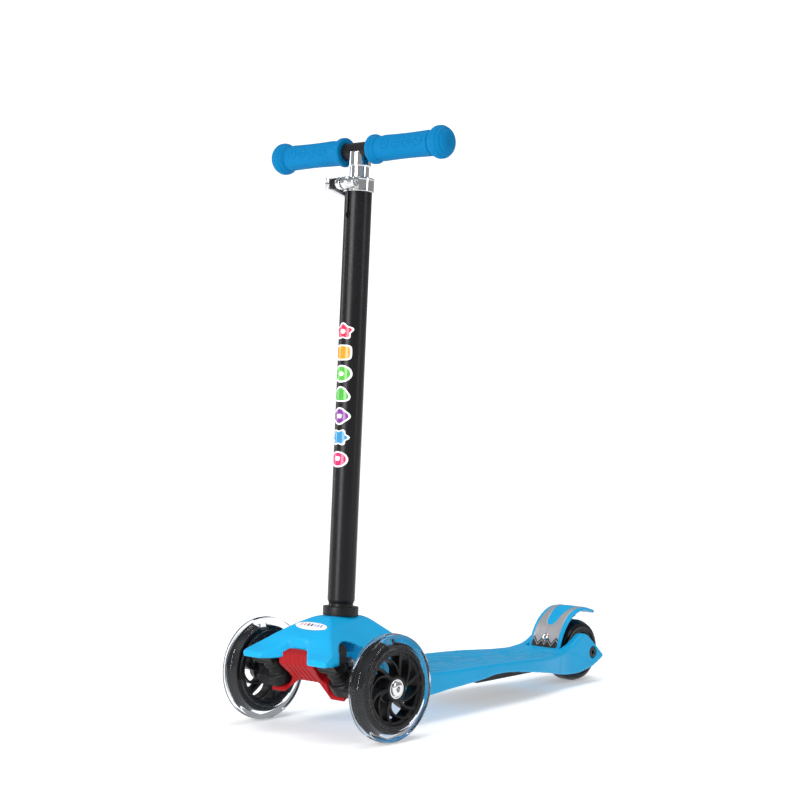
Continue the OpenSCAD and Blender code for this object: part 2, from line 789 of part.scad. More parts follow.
// Black post with its stub, and a keyhole slot that lets the clamp close it
module outer_tube() {
    bore = post_r - post_wall;
    color(black) at_post() difference() {
        union() {
            translate([0, 0, 1]) cylinder(h = post_h - 1, r = post_r);
            translate([0, 0, neck_top]) cylinder(h = 1 - neck_top, r1 = neck_r, r2 = post_r);
            translate([0, 0, -stub_h]) cylinder(h = stub_h + 1, r = stub_r);
        }
        translate([0, 0, 6]) cylinder(h = post_h, r = bore);
        translate([0, 0, -stub_h - 1]) cylinder(h = stub_h + 20, r = stub_r - 2.4);
        translate([-slot_w / 2, -2 * post_r, slot_z]) cube([slot_w, 2 * post_r, post_h]);
        translate([0, 0, slot_z]) rotate([90, 0, 0]) cylinder(h = 2 * post_r, r = slot_r);
    }
}

// Seven printed spots down the front of the post
module tube_stickers() {
    count = 7;
    pitch = 24.9;
    lowest = post_h - 320;
    color("gold") at_post() for (i = [0:count - 1]) intersection() {
        ring_z(lowest - 14, lowest + count * pitch, post_r + 0.25, post_r);
        translate([0, 0, lowest + pitch * i]) rotate([90, 0, 0]) cylinder(h = 2 * post_r, r = 10.5);
    }
}

// Plastic sleeve in the top of the post, in which the chrome tube slides
module post_bush() {
    color(black) at_post() difference() {
        ring_z(post_h - post_bush_l, post_h + 1, post_r - post_wall, slider_r + run_gap);
        translate([-slot_w / 2, -2 * post_r, slot_z]) cube([slot_w, 2 * post_r, post_h]);
    }
}

// Chrome clamp ring with two ears
module clamp_collar() {
    ear_t = ear_x - slot_w / 2;
    color(chrome) at_post() translate([0, 0, clamp_z]) difference() {
        union() {
            translate([0, 0, -clamp_h / 2]) cylinder(h = clamp_h, r = post_r + clamp_t);
            translate([-ear_x, ear_y, -clamp_h / 2 + 1]) cube([2 * ear_x, -ear_y, clamp_h - 2]);
            translate([0, ear_y, 0]) rod_x(-ear_x, ear_x, clamp_h / 2 - 1);
        }
        translate([0, 0, -clamp_h]) cylinder(h = 2 * clamp_h, r = post_r);
        translate([-slot_w / 2, -3 * post_r, -clamp_h]) cube([slot_w, 3 * post_r, 2 * clamp_h]);
        translate([0, ear_y, 0]) rod_x(-2 * ear_x, 2 * ear_x, clamp_bolt_r);
    }
}

// Bolt through the ears, with a round socket head and an eye for the lever's pin
module clamp_bolt() {
    color(chrome) at_post() translate([0, ear_y, clamp_z]) difference() {
        union() {
            rod_x(lever_x - 3.2, ear_x, clamp_bolt_r);
            rod_x(ear_x, ear_x + 11, 6);
        }
        translate([ear_x + 8, 0, 0]) rotate([0, 90, 0]) cylinder(h = 9, r = 3, $fn = 6);
        translate([lever_x, 0, -9]) cylinder(h = 18, r = lever_pin_r + run_gap);
    }
}

// Black ribbed nut and cam seat between the ear and the lever
module clamp_nut() {
    color(black) at_post() translate([0, ear_y, clamp_z]) difference() {
        rod_x(-nut_x + 1.2, -ear_x, 6.4);
        for (x = [-ear_x - 3, -ear_x - 6.5]) ring_x(x - 1, x, 9, 5.6);
        rod_x(-nut_x, 0, clamp_bolt_r);
    }
}

// Silver lever: two discs round the pin and a blade that lies along the post
module clamp_lever() {
    color(silver) at_post() translate([lever_x, ear_y, clamp_z]) difference() {
        union() {
            for (z = [-6.4, 3.6]) translate([0, 0, z]) cylinder(h = 2.8, r = 4.6);
            rotate([-16, 0, 0]) translate([0, 0, -5]) linear_extrude(10)
                polygon([[-3.6, 0], [3.2, 0], [4.4, 6], [5.4, 14], [6, 25], [8, 36], [13, 44], [11, 47],
                         [4, 41], [0.8, 32], [-0.6, 20], [-2.4, 8]]);
        }
        translate([0, 0, -3.6]) cylinder(h = 7.2, r = 5.4);
        translate([0, 0, -20]) cylinder(h = 40, r = lever_pin_r);
    }
}

module lever_pin() {
    color(chrome) at_post() translate([lever_x, ear_y, clamp_z - 6.4]) cylinder(h = 12.8, r = lever_pin_r);
}

// ---------- handlebar ----------

module inner_tube() {
    color(chrome) at_post() difference() {
        translate([0, 0, bar_z - slider_h]) cylinder(h = slider_h - 2, r = slider_r);
        translate([0, 0, bar_z - slider_h - 1]) cylinder(h = slider_h - crossbar_r - 4, r = slider_r - slider_t);
        translate([0, 0, bar_z]) rod_x(-30, 30, crossbar_r);
    }
}

// Plastic foot that guides the lower end of the chrome tube
module tube_foot() {
    from = bar_z - slider_h;
    color(black) at_post() {
        ring_z(from, from + tube_foot_l, post_r - post_wall - run_gap, slider_r);
        ring_z(from - 4, from, post_r - post_wall - run_gap, slider_r - slider_t);
    }
}

// Chrome cradle that carries the crossbar on the tube
module bar_saddle() {
    color(chrome) at_post() difference() {
        translate([0, 0, bar_z - crossbar_r - 9]) cylinder(h = crossbar_r + 8, r = slider_r + 2);
        translate([0, 0, bar_z - 60]) cylinder(h = 80, r = slider_r);
        translate([0, 0, bar_z]) rod_x(-30, 30, crossbar_r);
    }
}

module crossbar() {
    color(black) at_post() translate([0, 0, bar_z])
        ring_x(-bar_w / 2 + 12, bar_w / 2 - 12, crossbar_r, crossbar_r - 1.6);
}

// Rubber grip: an inner flange, a slightly waisted handle and a grooved round end
module grip(side) {
    grip_r = grip_d / 2;
    ball_r = grip_ball_d / 2;
    end = bar_w / 2;
    flange = 21;
    ball_l = 0.75 * ball_r;
    ball_x = end - ball_l;
    handle = [for (i = [0:8]) let (k = i / 8)
        [grip_r - 0.7 * sin(180 * k), flange + 14 + k * (ball_x - ball_l + 2 - flange - 14)]];
    ball = [for (a = [150:-10:0])
        let (groove = (a == 90 || a == 60 || a == 40) ? 0.8 : 0)
        [(ball_r - groove) * sin(a), ball_x + ball_l * cos(a)]];
    color(blue) at_post() translate([0, 0, bar_z]) on_side(side) difference() {
        turned_x() polygon(concat([[0, flange], [grip_r + 1, flange], [grip_r + 2.5, flange + 2],
            [grip_r + 2.5, flange + 5], [grip_r + 1, flange + 10]], handle,
            [for (q = ball) if (q[0] > grip_r + 0.2 || q[1] > ball_x) [q[0], q[1]]]));
        rod_x(0, end - 12, crossbar_r);
    }
}

module grip_left() { grip(LEFT); }

module grip_right() { grip(RIGHT); }

// ---------- rear wheel ----------

module rear_tyre() {
    color(black) at_rear_axle() turned_x() tyre_section(rear_core_r, rear_z, rear_wheel_w, 11);
}

module rear_core() {
    half = rear_wheel_w / 2 - 2;
    color(black) at_rear_axle() difference() {
        rod_x(-half, half, rear_core_r);
        rod_x(-half - 1, half + 1, bearing_r - 3);
        for (s = [LEFT, RIGHT]) on_side(s) {
            rod_x(8, 40, bearing_r);
            ring_x(half - 3, 40, rear_core_r - 3, bearing_r + 3);
        }
    }
}

module rear_bearings() {
    color(chrome) at_rear_axle() for (s = [LEFT, RIGHT]) on_side(s)
        ring_x(8, 8 + bearing_w, bearing_r, axle_r + run_gap);
}

module rear_axle() {
    color(chrome) at_rear_axle() difference() {
        union() {
            rod_x(-fork_r + 0.6, fork_r - head_sink, axle_r);
            rod_x(fork_r - head_sink, fork_r - 1, 6.5);
        }
        translate([fork_r - 3, 0, 0]) rotate([0, 90, 0]) cylinder(h = 9, r = 3, $fn = 6);
    }
}

module rear_axle_nut() {
    color(chrome) at_rear_axle() translate([-fork_r + 0.2, 0, 0]) rotate([0, 90, 0]) difference() {
        cylinder(h = head_sink - 0.2, r = 7, $fn = 6);
        translate([0, 0, -1]) cylinder(h = 9, r = axle_r);
    }
}

// Tubes that centre the rear wheel between the fork's arms
module rear_side_spacers() {
    color(silver) at_rear_axle() for (s = [LEFT, RIGHT]) on_side(s)
        ring_x(8 + bearing_w + 0.3, room_r, axle_r + 2.2, axle_r);
}

// ---------- brake ----------

// Plastic fender: a bent plate over the wheel with a hinge barrel at its foot
module brake_fender() {
    color(blue) difference() {
        union() {
            at_rear_axle() difference() {
                along_x(fender_w)
                    polygon(concat(fender_side, turned_back(drawn_in(fender_side, fender_t))));
                // Corners of the tail are cut off
                for (s = [LEFT, RIGHT]) on_side(s) translate([fender_r, fender_reach, 30])
                    rotate([0, 0, 45]) cube([16, 16, 80], center = true);
            }
            at_brake() {
                rod_x(-fender_r, fender_r, 6);
                along_x(fender_w) polygon([[-2, 5.6], [9, 16], [13, 14], [11, 4], [4, -4], [-2, -2]]);
            }
        }
        at_brake() {
            rod_x(-room_r, room_r, pin_r + run_gap);
            rod_x(-8, 8, 6.6);
            translate([-8, -7, -7]) cube([16, 14.5, 16]);
        }
        at_rear_axle() rotate([rivet_tilt, 0, 0]) translate([0, 0, 20]) cylinder(h = 60, r = 2);
        at_rear_axle() inlay_sheet(1);
    }
}

// Silver sheet let into the fender's outer face: a wide foot and two arms
module inlay_sheet(proud) {
    intersection() {
        along_x(fender_w - 10) polygon(concat(drawn_in(fender_side, -proud),
            turned_back(drawn_in(fender_side, inlay_t))));
        difference() {
            translate([-fender_r, -55, 14]) cube([fender_w, 70, 60]);
            translate([0, -18, -1]) {
                cylinder(h = 90, r = 10);
                translate([-10, 0, 0]) cube([20, 60, 90]);
            }
        }
    }
}

module brake_inlay() {
    color(silver) difference() {
        at_rear_axle() inlay_sheet(0);
        at_rear_axle() rotate([rivet_tilt, 0, 0]) translate([0, 0, 20]) cylinder(h = 60, r = 2);
    }
}

module brake_rivet() {
    color(chrome) at_rear_axle() rotate([rivet_tilt, 0, 0]) {
        translate([0, 0, 48]) cylinder(h = 10, r = 2);
        translate([0, 0, 57.2]) cylinder(h = 1.6, r = 4.2);
    }
}

// Friction pad under the top of the fender
module brake_pad() {
    color(black) at_rear_axle() intersection() {
        along_x(26) polygon(concat(drawn_in(fender_side, fender_t), [[fender_reach, 0], [0, 0], [-58, 0]]));
        difference() {
            rod_x(-13, 13, 80);
            rod_x(-14, 14, rear_z + 6);
        }
        rotate([22, 0, 0]) translate([-20, -12, 0]) cube([40, 24, 90]);
    }
}

module brake_pin() { color(silver) at_brake() rod_x(-room_r - 7, room_r + 7, pin_r); }

module brake_spring() {
    color(silver) at_brake() translate([-7, 0, 0]) rotate([0, 90, 0]) coil(4.2, 0.8, 14, 6);
}

deck();
under_tray();
tray_screws();
nose_badge();
steering_housing();
housing_screws();
kingpin_blocks();
kingpin_left();
kingpin_right();
kingpin_nuts();
stem_collar();
outer_tube();
tube_stickers();
post_bush();
clamp_collar();
clamp_bolt();
clamp_nut();
clamp_lever();
lever_pin();
inner_tube();
tube_foot();
bar_saddle();
crossbar();
grip_left();
grip_right();
knuckle_left();
knuckle_right();
swivel_bush_left();
swivel_bush_right();
tie_plate();
tie_pin_left();
tie_pin_right();
centring_spring_left();
centring_spring_right();
front_tyre_left();
front_core_left();
front_bearings_left();
front_sleeve_left();
front_axle_left();
axle_nut_left();
axle_washer_left();
front_tyre_right();
front_core_right();
front_bearings_right();
front_sleeve_right();
front_axle_right();
axle_nut_right();
axle_washer_right();
rear_tyre();
rear_core();
rear_bearings();
rear_axle();
rear_axle_nut();
rear_side_spacers();
brake_fender();
brake_inlay();
brake_rivet();
brake_pad();
brake_pin();
brake_spring();
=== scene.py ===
"""Kick scooter for a small child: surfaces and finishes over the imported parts.

The rider's left is +X, the rear is +Y and up is +Z. Shapes are worked out in
millimetres from the front axle, as the drawing of the parts is, and put into
the scooter's own frame in metres.
"""
import json
import logging
import math
from dataclasses import dataclass
from enum import Enum
from typing import Callable, Sequence

import bmesh
import bpy
import numpy as np
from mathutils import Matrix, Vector


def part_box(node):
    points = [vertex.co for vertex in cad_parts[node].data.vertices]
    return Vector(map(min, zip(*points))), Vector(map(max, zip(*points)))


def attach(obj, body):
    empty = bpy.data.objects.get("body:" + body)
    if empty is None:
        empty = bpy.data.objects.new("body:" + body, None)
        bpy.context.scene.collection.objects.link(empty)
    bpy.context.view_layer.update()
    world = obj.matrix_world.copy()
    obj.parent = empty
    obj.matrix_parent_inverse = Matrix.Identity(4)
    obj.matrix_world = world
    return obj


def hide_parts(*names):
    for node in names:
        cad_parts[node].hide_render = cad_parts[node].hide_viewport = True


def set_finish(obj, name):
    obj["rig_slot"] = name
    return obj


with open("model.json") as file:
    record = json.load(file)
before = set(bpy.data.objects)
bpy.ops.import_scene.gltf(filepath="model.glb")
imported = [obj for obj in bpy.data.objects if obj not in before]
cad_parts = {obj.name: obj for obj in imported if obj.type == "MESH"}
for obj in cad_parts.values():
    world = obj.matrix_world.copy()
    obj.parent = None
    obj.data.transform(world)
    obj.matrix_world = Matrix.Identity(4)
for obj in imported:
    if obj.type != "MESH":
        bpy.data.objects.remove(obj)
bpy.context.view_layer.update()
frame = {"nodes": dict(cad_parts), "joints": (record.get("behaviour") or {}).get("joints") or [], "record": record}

LOG = logging.getLogger("scooter")
MM = 0.001
Array = np.ndarray
Field = Callable[[Array, Array, Array], Array]
Point2 = tuple[float, float]
Corner = tuple[float, float, float]
Piece = bpy.types.Object
Plug = bpy.types.NodeSocket
Node = bpy.types.Node
PRINT_WHITE = (0.92, 0.92, 0.92, 1.0)


class Side(Enum):
    """Side of the scooter, as the rider sees it."""

    LEFT = 1
    RIGHT = -1

    @property
    def word(self) -> str:
        """Gives the ending of the parts' names on this side."""
        return self.name.lower()


# --- layout


@dataclass(frozen=True)
class Layout:
    """Places of the axles, kingpins and post, in millimetres from the front axle."""

    middle_y: float
    front_z: float
    wheel_x: float
    rear_y: float
    rear_z: float
    kingpin: Array
    kingpin_axis: Array
    post_foot: Array
    post_axis: Array
    brake: Array

    @staticmethod
    def read() -> "Layout":
        """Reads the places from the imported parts' boxes and joints.

        The post's foot is found from the pin of the clamp's lever, which lies to the
        rider's right of the post's axis, in front of it and up it.

        Returns:
            The layout of this scooter.
        """
        joints = {joint["name"]: joint for joint in frame["joints"]}
        low, high = (np.array(corner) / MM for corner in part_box("front_tyre_left"))
        back_low, back_high = (np.array(corner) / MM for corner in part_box("rear_tyre"))
        wheel, back = (low + high) / 2, (back_low + back_high) / 2
        shift = np.array([0.0, wheel[1], 0.0])
        axis = np.array(joints["bar_slide"]["axis"])
        lever = np.array(joints["clamp_lever_swing"]["pos_m"]) / MM - shift
        aside, ahead, up = 24.0, 24.7, 476.0
        post = lever + np.array([aside, 0, 0]) + ahead * np.cross(axis, [1.0, 0, 0]) - up * axis
        return Layout(
            middle_y=-wheel[1], front_z=wheel[2], wheel_x=wheel[0],
            rear_y=back[1] - wheel[1], rear_z=back[2],
            kingpin=np.array(joints["steer_left"]["pos_m"]) / MM - shift,
            kingpin_axis=np.array(joints["steer_left"]["axis"]),
            post_foot=post, post_axis=axis,
            brake=np.array(joints["brake_press"]["pos_m"]) / MM - shift)


PLACE = Layout.read()


@dataclass(frozen=True)
class Pose:
    """A local frame: its origin in millimetres from the front axle, and its three axes."""

    origin: Array
    x_axis: Array
    y_axis: Array
    z_axis: Array

    def outwards(self, points: Array) -> Array:
        """Turns local points into points from the front axle: origin plus each axis times its coordinate.

        Args:
            points: Local points, one in each row.

        Returns:
            The same points in the scooter's directions.
        """
        return self.origin + points @ np.array([self.x_axis, self.y_axis, self.z_axis])

    def inwards(self, x: Array, y: Array, z: Array) -> tuple[Array, Array, Array]:
        """Gives the local coordinates of points: the offset from the origin along each axis.

        Args:
            x: Coordinates along X.
            y: Coordinates along Y.
            z: Coordinates along Z.

        Returns:
            The three local coordinates.
        """
        a, b, c = x - self.origin[0], y - self.origin[1], z - self.origin[2]
        return tuple(a * axis[0] + b * axis[1] + c * axis[2]
                     for axis in (self.x_axis, self.y_axis, self.z_axis))


def upright(origin: Sequence[float], z_axis: Sequence[float] = (0, 0, 1), mirrored: bool = False) -> Pose:
    """Makes a local frame whose X is the scooter's X and whose Z is a given direction in the YZ plane.

    Args:
        origin: Origin in millimetres from the front axle.
        z_axis: Direction of the local Z axis.
        mirrored: Whether the local X points to the rider's right.

    Returns:
        The local frame.
    """
    z = np.array(z_axis, float) / np.linalg.norm(z_axis)
    side = -1.0 if mirrored else 1.0
    return Pose(np.array(origin, float), np.array([side, 0, 0]), np.cross(z, [1.0, 0, 0]), z)


POST = upright(PLACE.post_foot, PLACE.post_axis)


def kingpin_pose(side: Side) -> Pose:
    """Gives the frame of a kingpin: Z along the pin, X outwards, Y to the rear.

    Args:
        side: Side of the scooter.

    Returns:
        The local frame.
    """
    origin = PLACE.kingpin * np.array([side.value, 1, 1])
    return upright(origin, PLACE.kingpin_axis, side is Side.RIGHT)


# --- meshes


def smooth_step(value: Array, low: float, high: float) -> Array:
    """Rises from 0 at low to 1 at high: t squared times (3 - 2t), with t held between 0 and 1."""
    t = np.clip((value - low) / (high - low), 0.0, 1.0)
    return t * t * (3 - 2 * t)


def into_scene(name: str, points: Array, faces: Array, attribute: Array | None = None) -> Piece:
    """Puts points and faces into a smooth mesh object whose own place is the origin.

    Args:
        name: Name of the object.
        points: Points in millimetres from the front axle, one in each row.
        faces: Four corners of each face, as point numbers.
        attribute: Optional colour of each point, four numbers in each row.

    Returns:
        The new object.
    """
    placed = (points + np.array([0.0, -PLACE.middle_y, 0.0])) * MM
    mesh = bpy.data.meshes.new(name)
    mesh.vertices.add(len(placed))
    mesh.vertices.foreach_set("co", placed.astype(np.float32).ravel())
    mesh.loops.add(faces.size)
    mesh.loops.foreach_set("vertex_index", faces.astype(np.int32).ravel())
    mesh.polygons.add(len(faces))
    mesh.polygons.foreach_set("loop_start", np.arange(len(faces), dtype=np.int32) * faces.shape[1])
    mesh.update(calc_edges=True)
    mesh.validate()
    mesh.polygons.foreach_set("use_smooth", np.ones(len(mesh.polygons), bool))
    if attribute is not None:
        layer = mesh.color_attributes.new("print", "FLOAT_COLOR", "POINT")
        layer.data.foreach_set("color", attribute.astype(np.float32).ravel())
    piece = bpy.data.objects.new(name, mesh)
    bpy.context.scene.collection.objects.link(piece)
    return piece


def grid_faces(rows: int, columns: int, close_rows: bool = False, close_columns: bool = False,
               flipped: bool = False) -> Array:
    """Joins a grid of points into four-cornered faces: each face takes a point and its three next neighbours.

    Args:
        rows: Points along the first parameter.
        columns: Points along the second parameter.
        close_rows: Whether the last row meets the first.
        close_columns: Whether the last column meets the first.
        flipped: Whether the faces look the other way.

    Returns:
        Point numbers, four in each row.
    """
    i = np.arange(rows if close_rows else rows - 1)[:, None]
    j = np.arange(columns if close_columns else columns - 1)[None, :]
    i2, j2 = (i + 1) % rows, (j + 1) % columns
    corners = [i * columns + j, i * columns + j2, i2 * columns + j2, i2 * columns + j]
    if flipped:
        corners.reverse()
    return np.stack([np.broadcast_to(c, (i.size, j.size)).ravel() for c in corners], axis=1)


def resampled(points: Sequence[Point2], count: int, closed: bool = False) -> Array:
    """Draws a smooth curve: a cubic through each four neighbouring points, in equal steps of length.

    Args:
        points: Points of the curve.
        count: Number of points wanted.
        closed: Whether the curve returns to its start.

    Returns:
        The new points, one in each row.
    """
    p = np.array(points, float)
    q = np.vstack([p[-1:], p, p[:2]]) if closed else np.vstack([2 * p[:1] - p[1:2], p, 2 * p[-1:] - p[-2:-1]])
    t = np.linspace(0, 1, 24, endpoint=False)[None, :, None]
    a, b, c, d = (q[k:len(q) - 3 + k][:, None, :] for k in range(4))
    fine = 0.5 * (2 * b + (c - a) * t + (2 * a - 5 * b + 4 * c - d) * t ** 2
                  + (3 * b - a - 3 * c + d) * t ** 3)
    fine = np.vstack([fine.reshape(-1, p.shape[1]), q[-2:-1]])
    length = np.concatenate([[0], np.cumsum(np.linalg.norm(np.diff(fine, axis=0), axis=1))])
    wanted = np.linspace(0, length[-1], count, endpoint=not closed)
    return np.stack([np.interp(wanted, length, fine[:, k]) for k in range(p.shape[1])], axis=1)


def softened(points: Sequence[Point2], rounds: int = 2, share: float = 0.22) -> Array:
    """Cuts the corners of a closed outline again and again, so that it bends smoothly.

    Each side keeps the two points that lie the given share of its length from its ends.

    Args:
        points: Corners of the outline.
        rounds: How many times the corners are cut.
        share: Share of each side that is cut off at each end.

    Returns:
        The new corners, one in each row.
    """
    p = np.array(points, float)
    for _ in range(rounds):
        after = np.roll(p, -1, axis=0)
        cut = [p * (1 - share) + after * share, p * share + after * (1 - share)]
        p = np.stack(cut, axis=1).reshape(-1, 2)
    return p


# --- solids as distances


class Outline:
    """Closed flat outline that answers how far a point lies outside it.

    The distance to the nearest side, negative inside, is worked out once on a
    fine square table, and is read from the table by mixing its four nearest values.
    """

    def __init__(self, points: Sequence[Point2], rounds: int = 0, share: float = 0.22, step: float = 0.5,
                 margin: float = 14.0) -> None:
        """Works out the table.

        Args:
            points: Corners in millimetres.
            rounds: How many times the corners are softened.
            share: Share of each side that a softening cuts off.
            step: Spacing of the table.
            margin: Room round the outline in the table.
        """
        p = softened(points, rounds, share) if rounds else np.array(points, float)
        self.low = p.min(axis=0) - margin
        self.step = step
        size = np.ceil((p.max(axis=0) + margin - self.low) / step).astype(int) + 2
        u = (self.low[0] + step * np.arange(size[0]))[:, None]
        v = (self.low[1] + step * np.arange(size[1]))[None, :]
        nearest = np.full(tuple(size), 1e9)
        inside = np.zeros(tuple(size), bool)
        for (ax, ay), (bx, by) in zip(p, np.roll(p, -1, axis=0)):
            ex, ey = bx - ax, by - ay
            along = np.clip(((u - ax) * ex + (v - ay) * ey) / max(ex * ex + ey * ey, 1e-9), 0, 1)
            nearest = np.minimum(nearest, (u - ax - along * ex) ** 2 + (v - ay - along * ey) ** 2)
            if ay != by:
                inside ^= ((ay > v) != (by > v)) & (u < ax + (v - ay) * ex / ey)
        self.table = np.where(inside, -1, 1) * np.sqrt(nearest)

    def __call__(self, u: Array, v: Array) -> Array:
        """Gives the distance at points; outside the table the way back to it is added.

        Args:
            u: First coordinates.
            v: Second coordinates.

        Returns:
            The distances, negative inside.
        """
        a, b = (u - self.low[0]) / self.step, (v - self.low[1]) / self.step
        ca = np.clip(a, 0, self.table.shape[0] - 1.001)
        cb = np.clip(b, 0, self.table.shape[1] - 1.001)
        i, j = np.broadcast_arrays(ca.astype(int), cb.astype(int))
        s, t = ca - i, cb - j
        near = (self.table[i, j] * (1 - s) * (1 - t) + self.table[i + 1, j] * s * (1 - t)
                + self.table[i, j + 1] * (1 - s) * t + self.table[i + 1, j + 1] * s * t)
        return near + self.step * np.hypot(a - ca, b - cb)


def both(a: Array, b: Array, radius: float = 0.0) -> Array:
    """Keeps what is in both solids: the larger distance, with the edge between them rounded to a radius."""
    if radius <= 0:
        return np.maximum(a, b)
    bend = np.hypot(np.maximum(a + radius, 0), np.maximum(b + radius, 0))
    return np.minimum(-radius, np.maximum(a, b)) + bend


def either(a: Array, b: Array, radius: float = 0.0) -> Array:
    """Joins two solids: the smaller distance, with the corner between them filled to a radius."""
    return -both(-a, -b, radius)


def without(a: Array, b: Array, radius: float = 0.0) -> Array:
    """Cuts the second solid out of the first and rounds the new edge to a radius."""
    return both(a, -b, radius)


def between(value: Array, low: float, high: float) -> Array:
    """Distance to a flat slab: how far a coordinate lies outside its two limits."""
    return np.maximum(low - value, value - high)


def block(x: Array, y: Array, z: Array, low: Sequence[float], high: Sequence[float],
          radius: float = 0.0) -> Array:
    """Distance to a box with rounded edges, from its two corners: its three slabs, kept together."""
    flat = both(between(x, low[0], high[0]), between(y, low[1], high[1]), radius)
    return both(flat, between(z, low[2], high[2]), radius)


def rod(a: Array, b: Array, along: Array, size: float, low: float, high: float, radius: float = 0.0) -> Array:
    """Distance to a cylinder: the radius of (a, b) less its size, kept between two places along it."""
    return both(np.hypot(a, b) - size, between(along, low, high), radius)


def hexagon(a: Array, b: Array, size: float) -> Array:
    """Distance to a hexagon bar whose flats lie a given size from its middle."""
    a, b = np.abs(a), np.abs(b)
    return np.maximum(a * 0.8660254 + b * 0.5, b) - size


def skin(name: str, shape: Field, low: Sequence[float], high: Sequence[float], cell: float,
         pose: Pose | None = None) -> Piece:
    """Puts a closed skin round a solid given as a distance.

    The space is cut into cubes. A cube that the surface passes through gets one
    point, the mean of the places where the surface crosses its edges, which then
    slides down the slope of the distance until the distance is zero. Each cube
    edge that the surface crosses gives one face between the four cubes round it.

    Args:
        name: Name of the piece.
        shape: Distance at given coordinates, negative inside.
        low: Lowest corner of the space, in millimetres.
        high: Highest corner of the space.
        cell: Side of a cube.
        pose: Local frame in which the shape is given, if not the scooter's.

    Returns:
        The finished mesh object.
    """
    axes = [np.arange(a - cell * 1.37, b + 2.4 * cell, cell) for a, b in zip(low, high)]
    size = tuple(len(axis) for axis in axes)
    values = np.broadcast_to(shape(*np.ix_(*axes)), size)
    inside = values < 0
    cells = tuple(n - 1 for n in size)
    total = np.zeros(cells + (3,))
    count = np.zeros(cells)
    crossings = []
    for axis in range(3):
        a = np.moveaxis(values, axis, 0)
        cross = np.moveaxis(inside, axis, 0)
        cross = cross[:-1] != cross[1:]
        share = np.where(cross, a[:-1] / np.where(cross, a[:-1] - a[1:], 1), 0.0)
        cross, share = np.moveaxis(cross, 0, axis), np.moveaxis(share, 0, axis)
        crossings.append(cross)
        others = [k for k in range(3) if k != axis]
        for da in (0, 1):
            for db in (0, 1):
                cut = [slice(None)] * 3
                cut[others[0]] = slice(da, size[others[0]] - 1 + da)
                cut[others[1]] = slice(db, size[others[1]] - 1 + db)
                hit = cross[tuple(cut)]
                total[..., axis] += np.where(hit, share[tuple(cut)], 0)
                total[..., others[0]] += hit * da
                total[..., others[1]] += hit * db
                count += hit
    used = count > 0
    number = np.full(cells, -1)
    number[used] = np.arange(used.sum())
    where = np.argwhere(used)
    mean = total[used] / count[used][:, None]
    points = np.stack([axes[k][0] + cell * (where[:, k] + mean[:, k]) for k in range(3)], axis=1)
    start = points.copy()
    nudge = 0.12 * cell
    for _ in range(2):
        here = shape(*points.T)
        slope = np.stack([shape(*(points + nudge * step).T) - here for step in np.eye(3)], axis=1) / nudge
        points = points - 0.9 * (here / np.maximum((slope ** 2).sum(axis=1), 0.3))[:, None] * slope
        points = start + np.clip(points - start, -0.6 * cell, 0.6 * cell)
    faces = []
    for axis, cross in enumerate(crossings):
        others = [(axis + 1) % 3, (axis + 2) % 3]
        at = np.argwhere(cross)
        at = at[np.all([(at[:, k] > 0) & (at[:, k] < size[k] - 1) for k in others], axis=0)]
        corners = []
        for da, db in ((-1, -1), (0, -1), (0, 0), (-1, 0)):
            move = np.zeros(3, int)
            move[others[0]], move[others[1]] = da, db
            corners.append(number[tuple((at + move).T)])
        quad = np.stack(corners, axis=1)
        leaving = inside[tuple(at.T)]
        faces.append(np.where(leaving[:, None], quad, quad[:, ::-1]))
    if pose is not None:
        points = pose.outwards(points)
    quads = np.vstack(faces)
    if pose is not None and pose.x_axis[0] < 0:
        quads = quads[:, ::-1]
    return into_scene(name, points, quads)


def lathe(name: str, profile: Array, around: int, origin: Sequence[float], axis: str = "x",
          relief: Callable[[Array, Array], Array] | None = None, pose: Pose | None = None) -> Piece:
    """Turns a closed or pole-to-pole profile round an axis: radius times cosine and sine of each angle.

    Args:
        name: Name of the piece.
        profile: Radius and place along the axis of each profile point; a closed loop, or ends at radius 0.
        around: Number of angles.
        origin: Middle of the turning, in millimetres.
        axis: "x" or "z", the axis turned about.
        relief: Optional height to add to the radius, from the place along the axis and the angle.
        pose: Local frame in which the piece is turned.

    Returns:
        The finished mesh object.
    """
    angle = np.linspace(0, 2 * math.pi, around, endpoint=False)[None, :]
    radius, along = profile[:, :1], profile[:, 1:2]
    place = np.broadcast_to(along, (len(profile), around))
    if relief is not None:
        radius = np.where(radius > 0, radius + relief(along, angle), radius)
    a, b = radius * np.cos(angle), radius * np.sin(angle)
    local = np.stack([place, -a, b] if axis == "x" else [a, b, place], axis=-1)
    local = local.reshape(-1, 3) + np.array(origin)
    ends = profile[0, 0] == 0 and profile[-1, 0] == 0
    faces = grid_faces(len(profile), around, close_rows=not ends, close_columns=True, flipped=axis != "x")
    points = local if pose is None else pose.outwards(local)
    if pose is not None and pose.x_axis[0] < 0:
        faces = faces[:, ::-1]
    piece = into_scene(name, points, faces)
    if ends:
        merge_close(piece)
    return piece


def merge_close(piece: Piece, distance: float = 1e-6) -> None:
    """Merges points that lie closer than a distance in metres, and turns every face outwards.

    Args:
        piece: The mesh object.
        distance: Largest distance between merged points.
    """
    work = bmesh.new()
    work.from_mesh(piece.data)
    bmesh.ops.remove_doubles(work, verts=work.verts, dist=distance)
    bmesh.ops.recalc_face_normals(work, faces=work.faces)
    work.to_mesh(piece.data)
    work.free()
    piece.data.polygons.foreach_set("use_smooth", np.ones(len(piece.data.polygons), bool))


def given(piece: Piece, body: str, slot: str, *nodes: str) -> Piece:
    """Hands a piece to the body it rides and its material slot, in place of the named parts.

    Args:
        piece: The piece.
        body: Body that carries it.
        slot: Its material slot.
        nodes: Parts that it replaces.

    Returns:
        The same piece.
    """
    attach(piece, body)
    if nodes:
        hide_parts(*nodes)
    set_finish(piece, slot)
    return piece


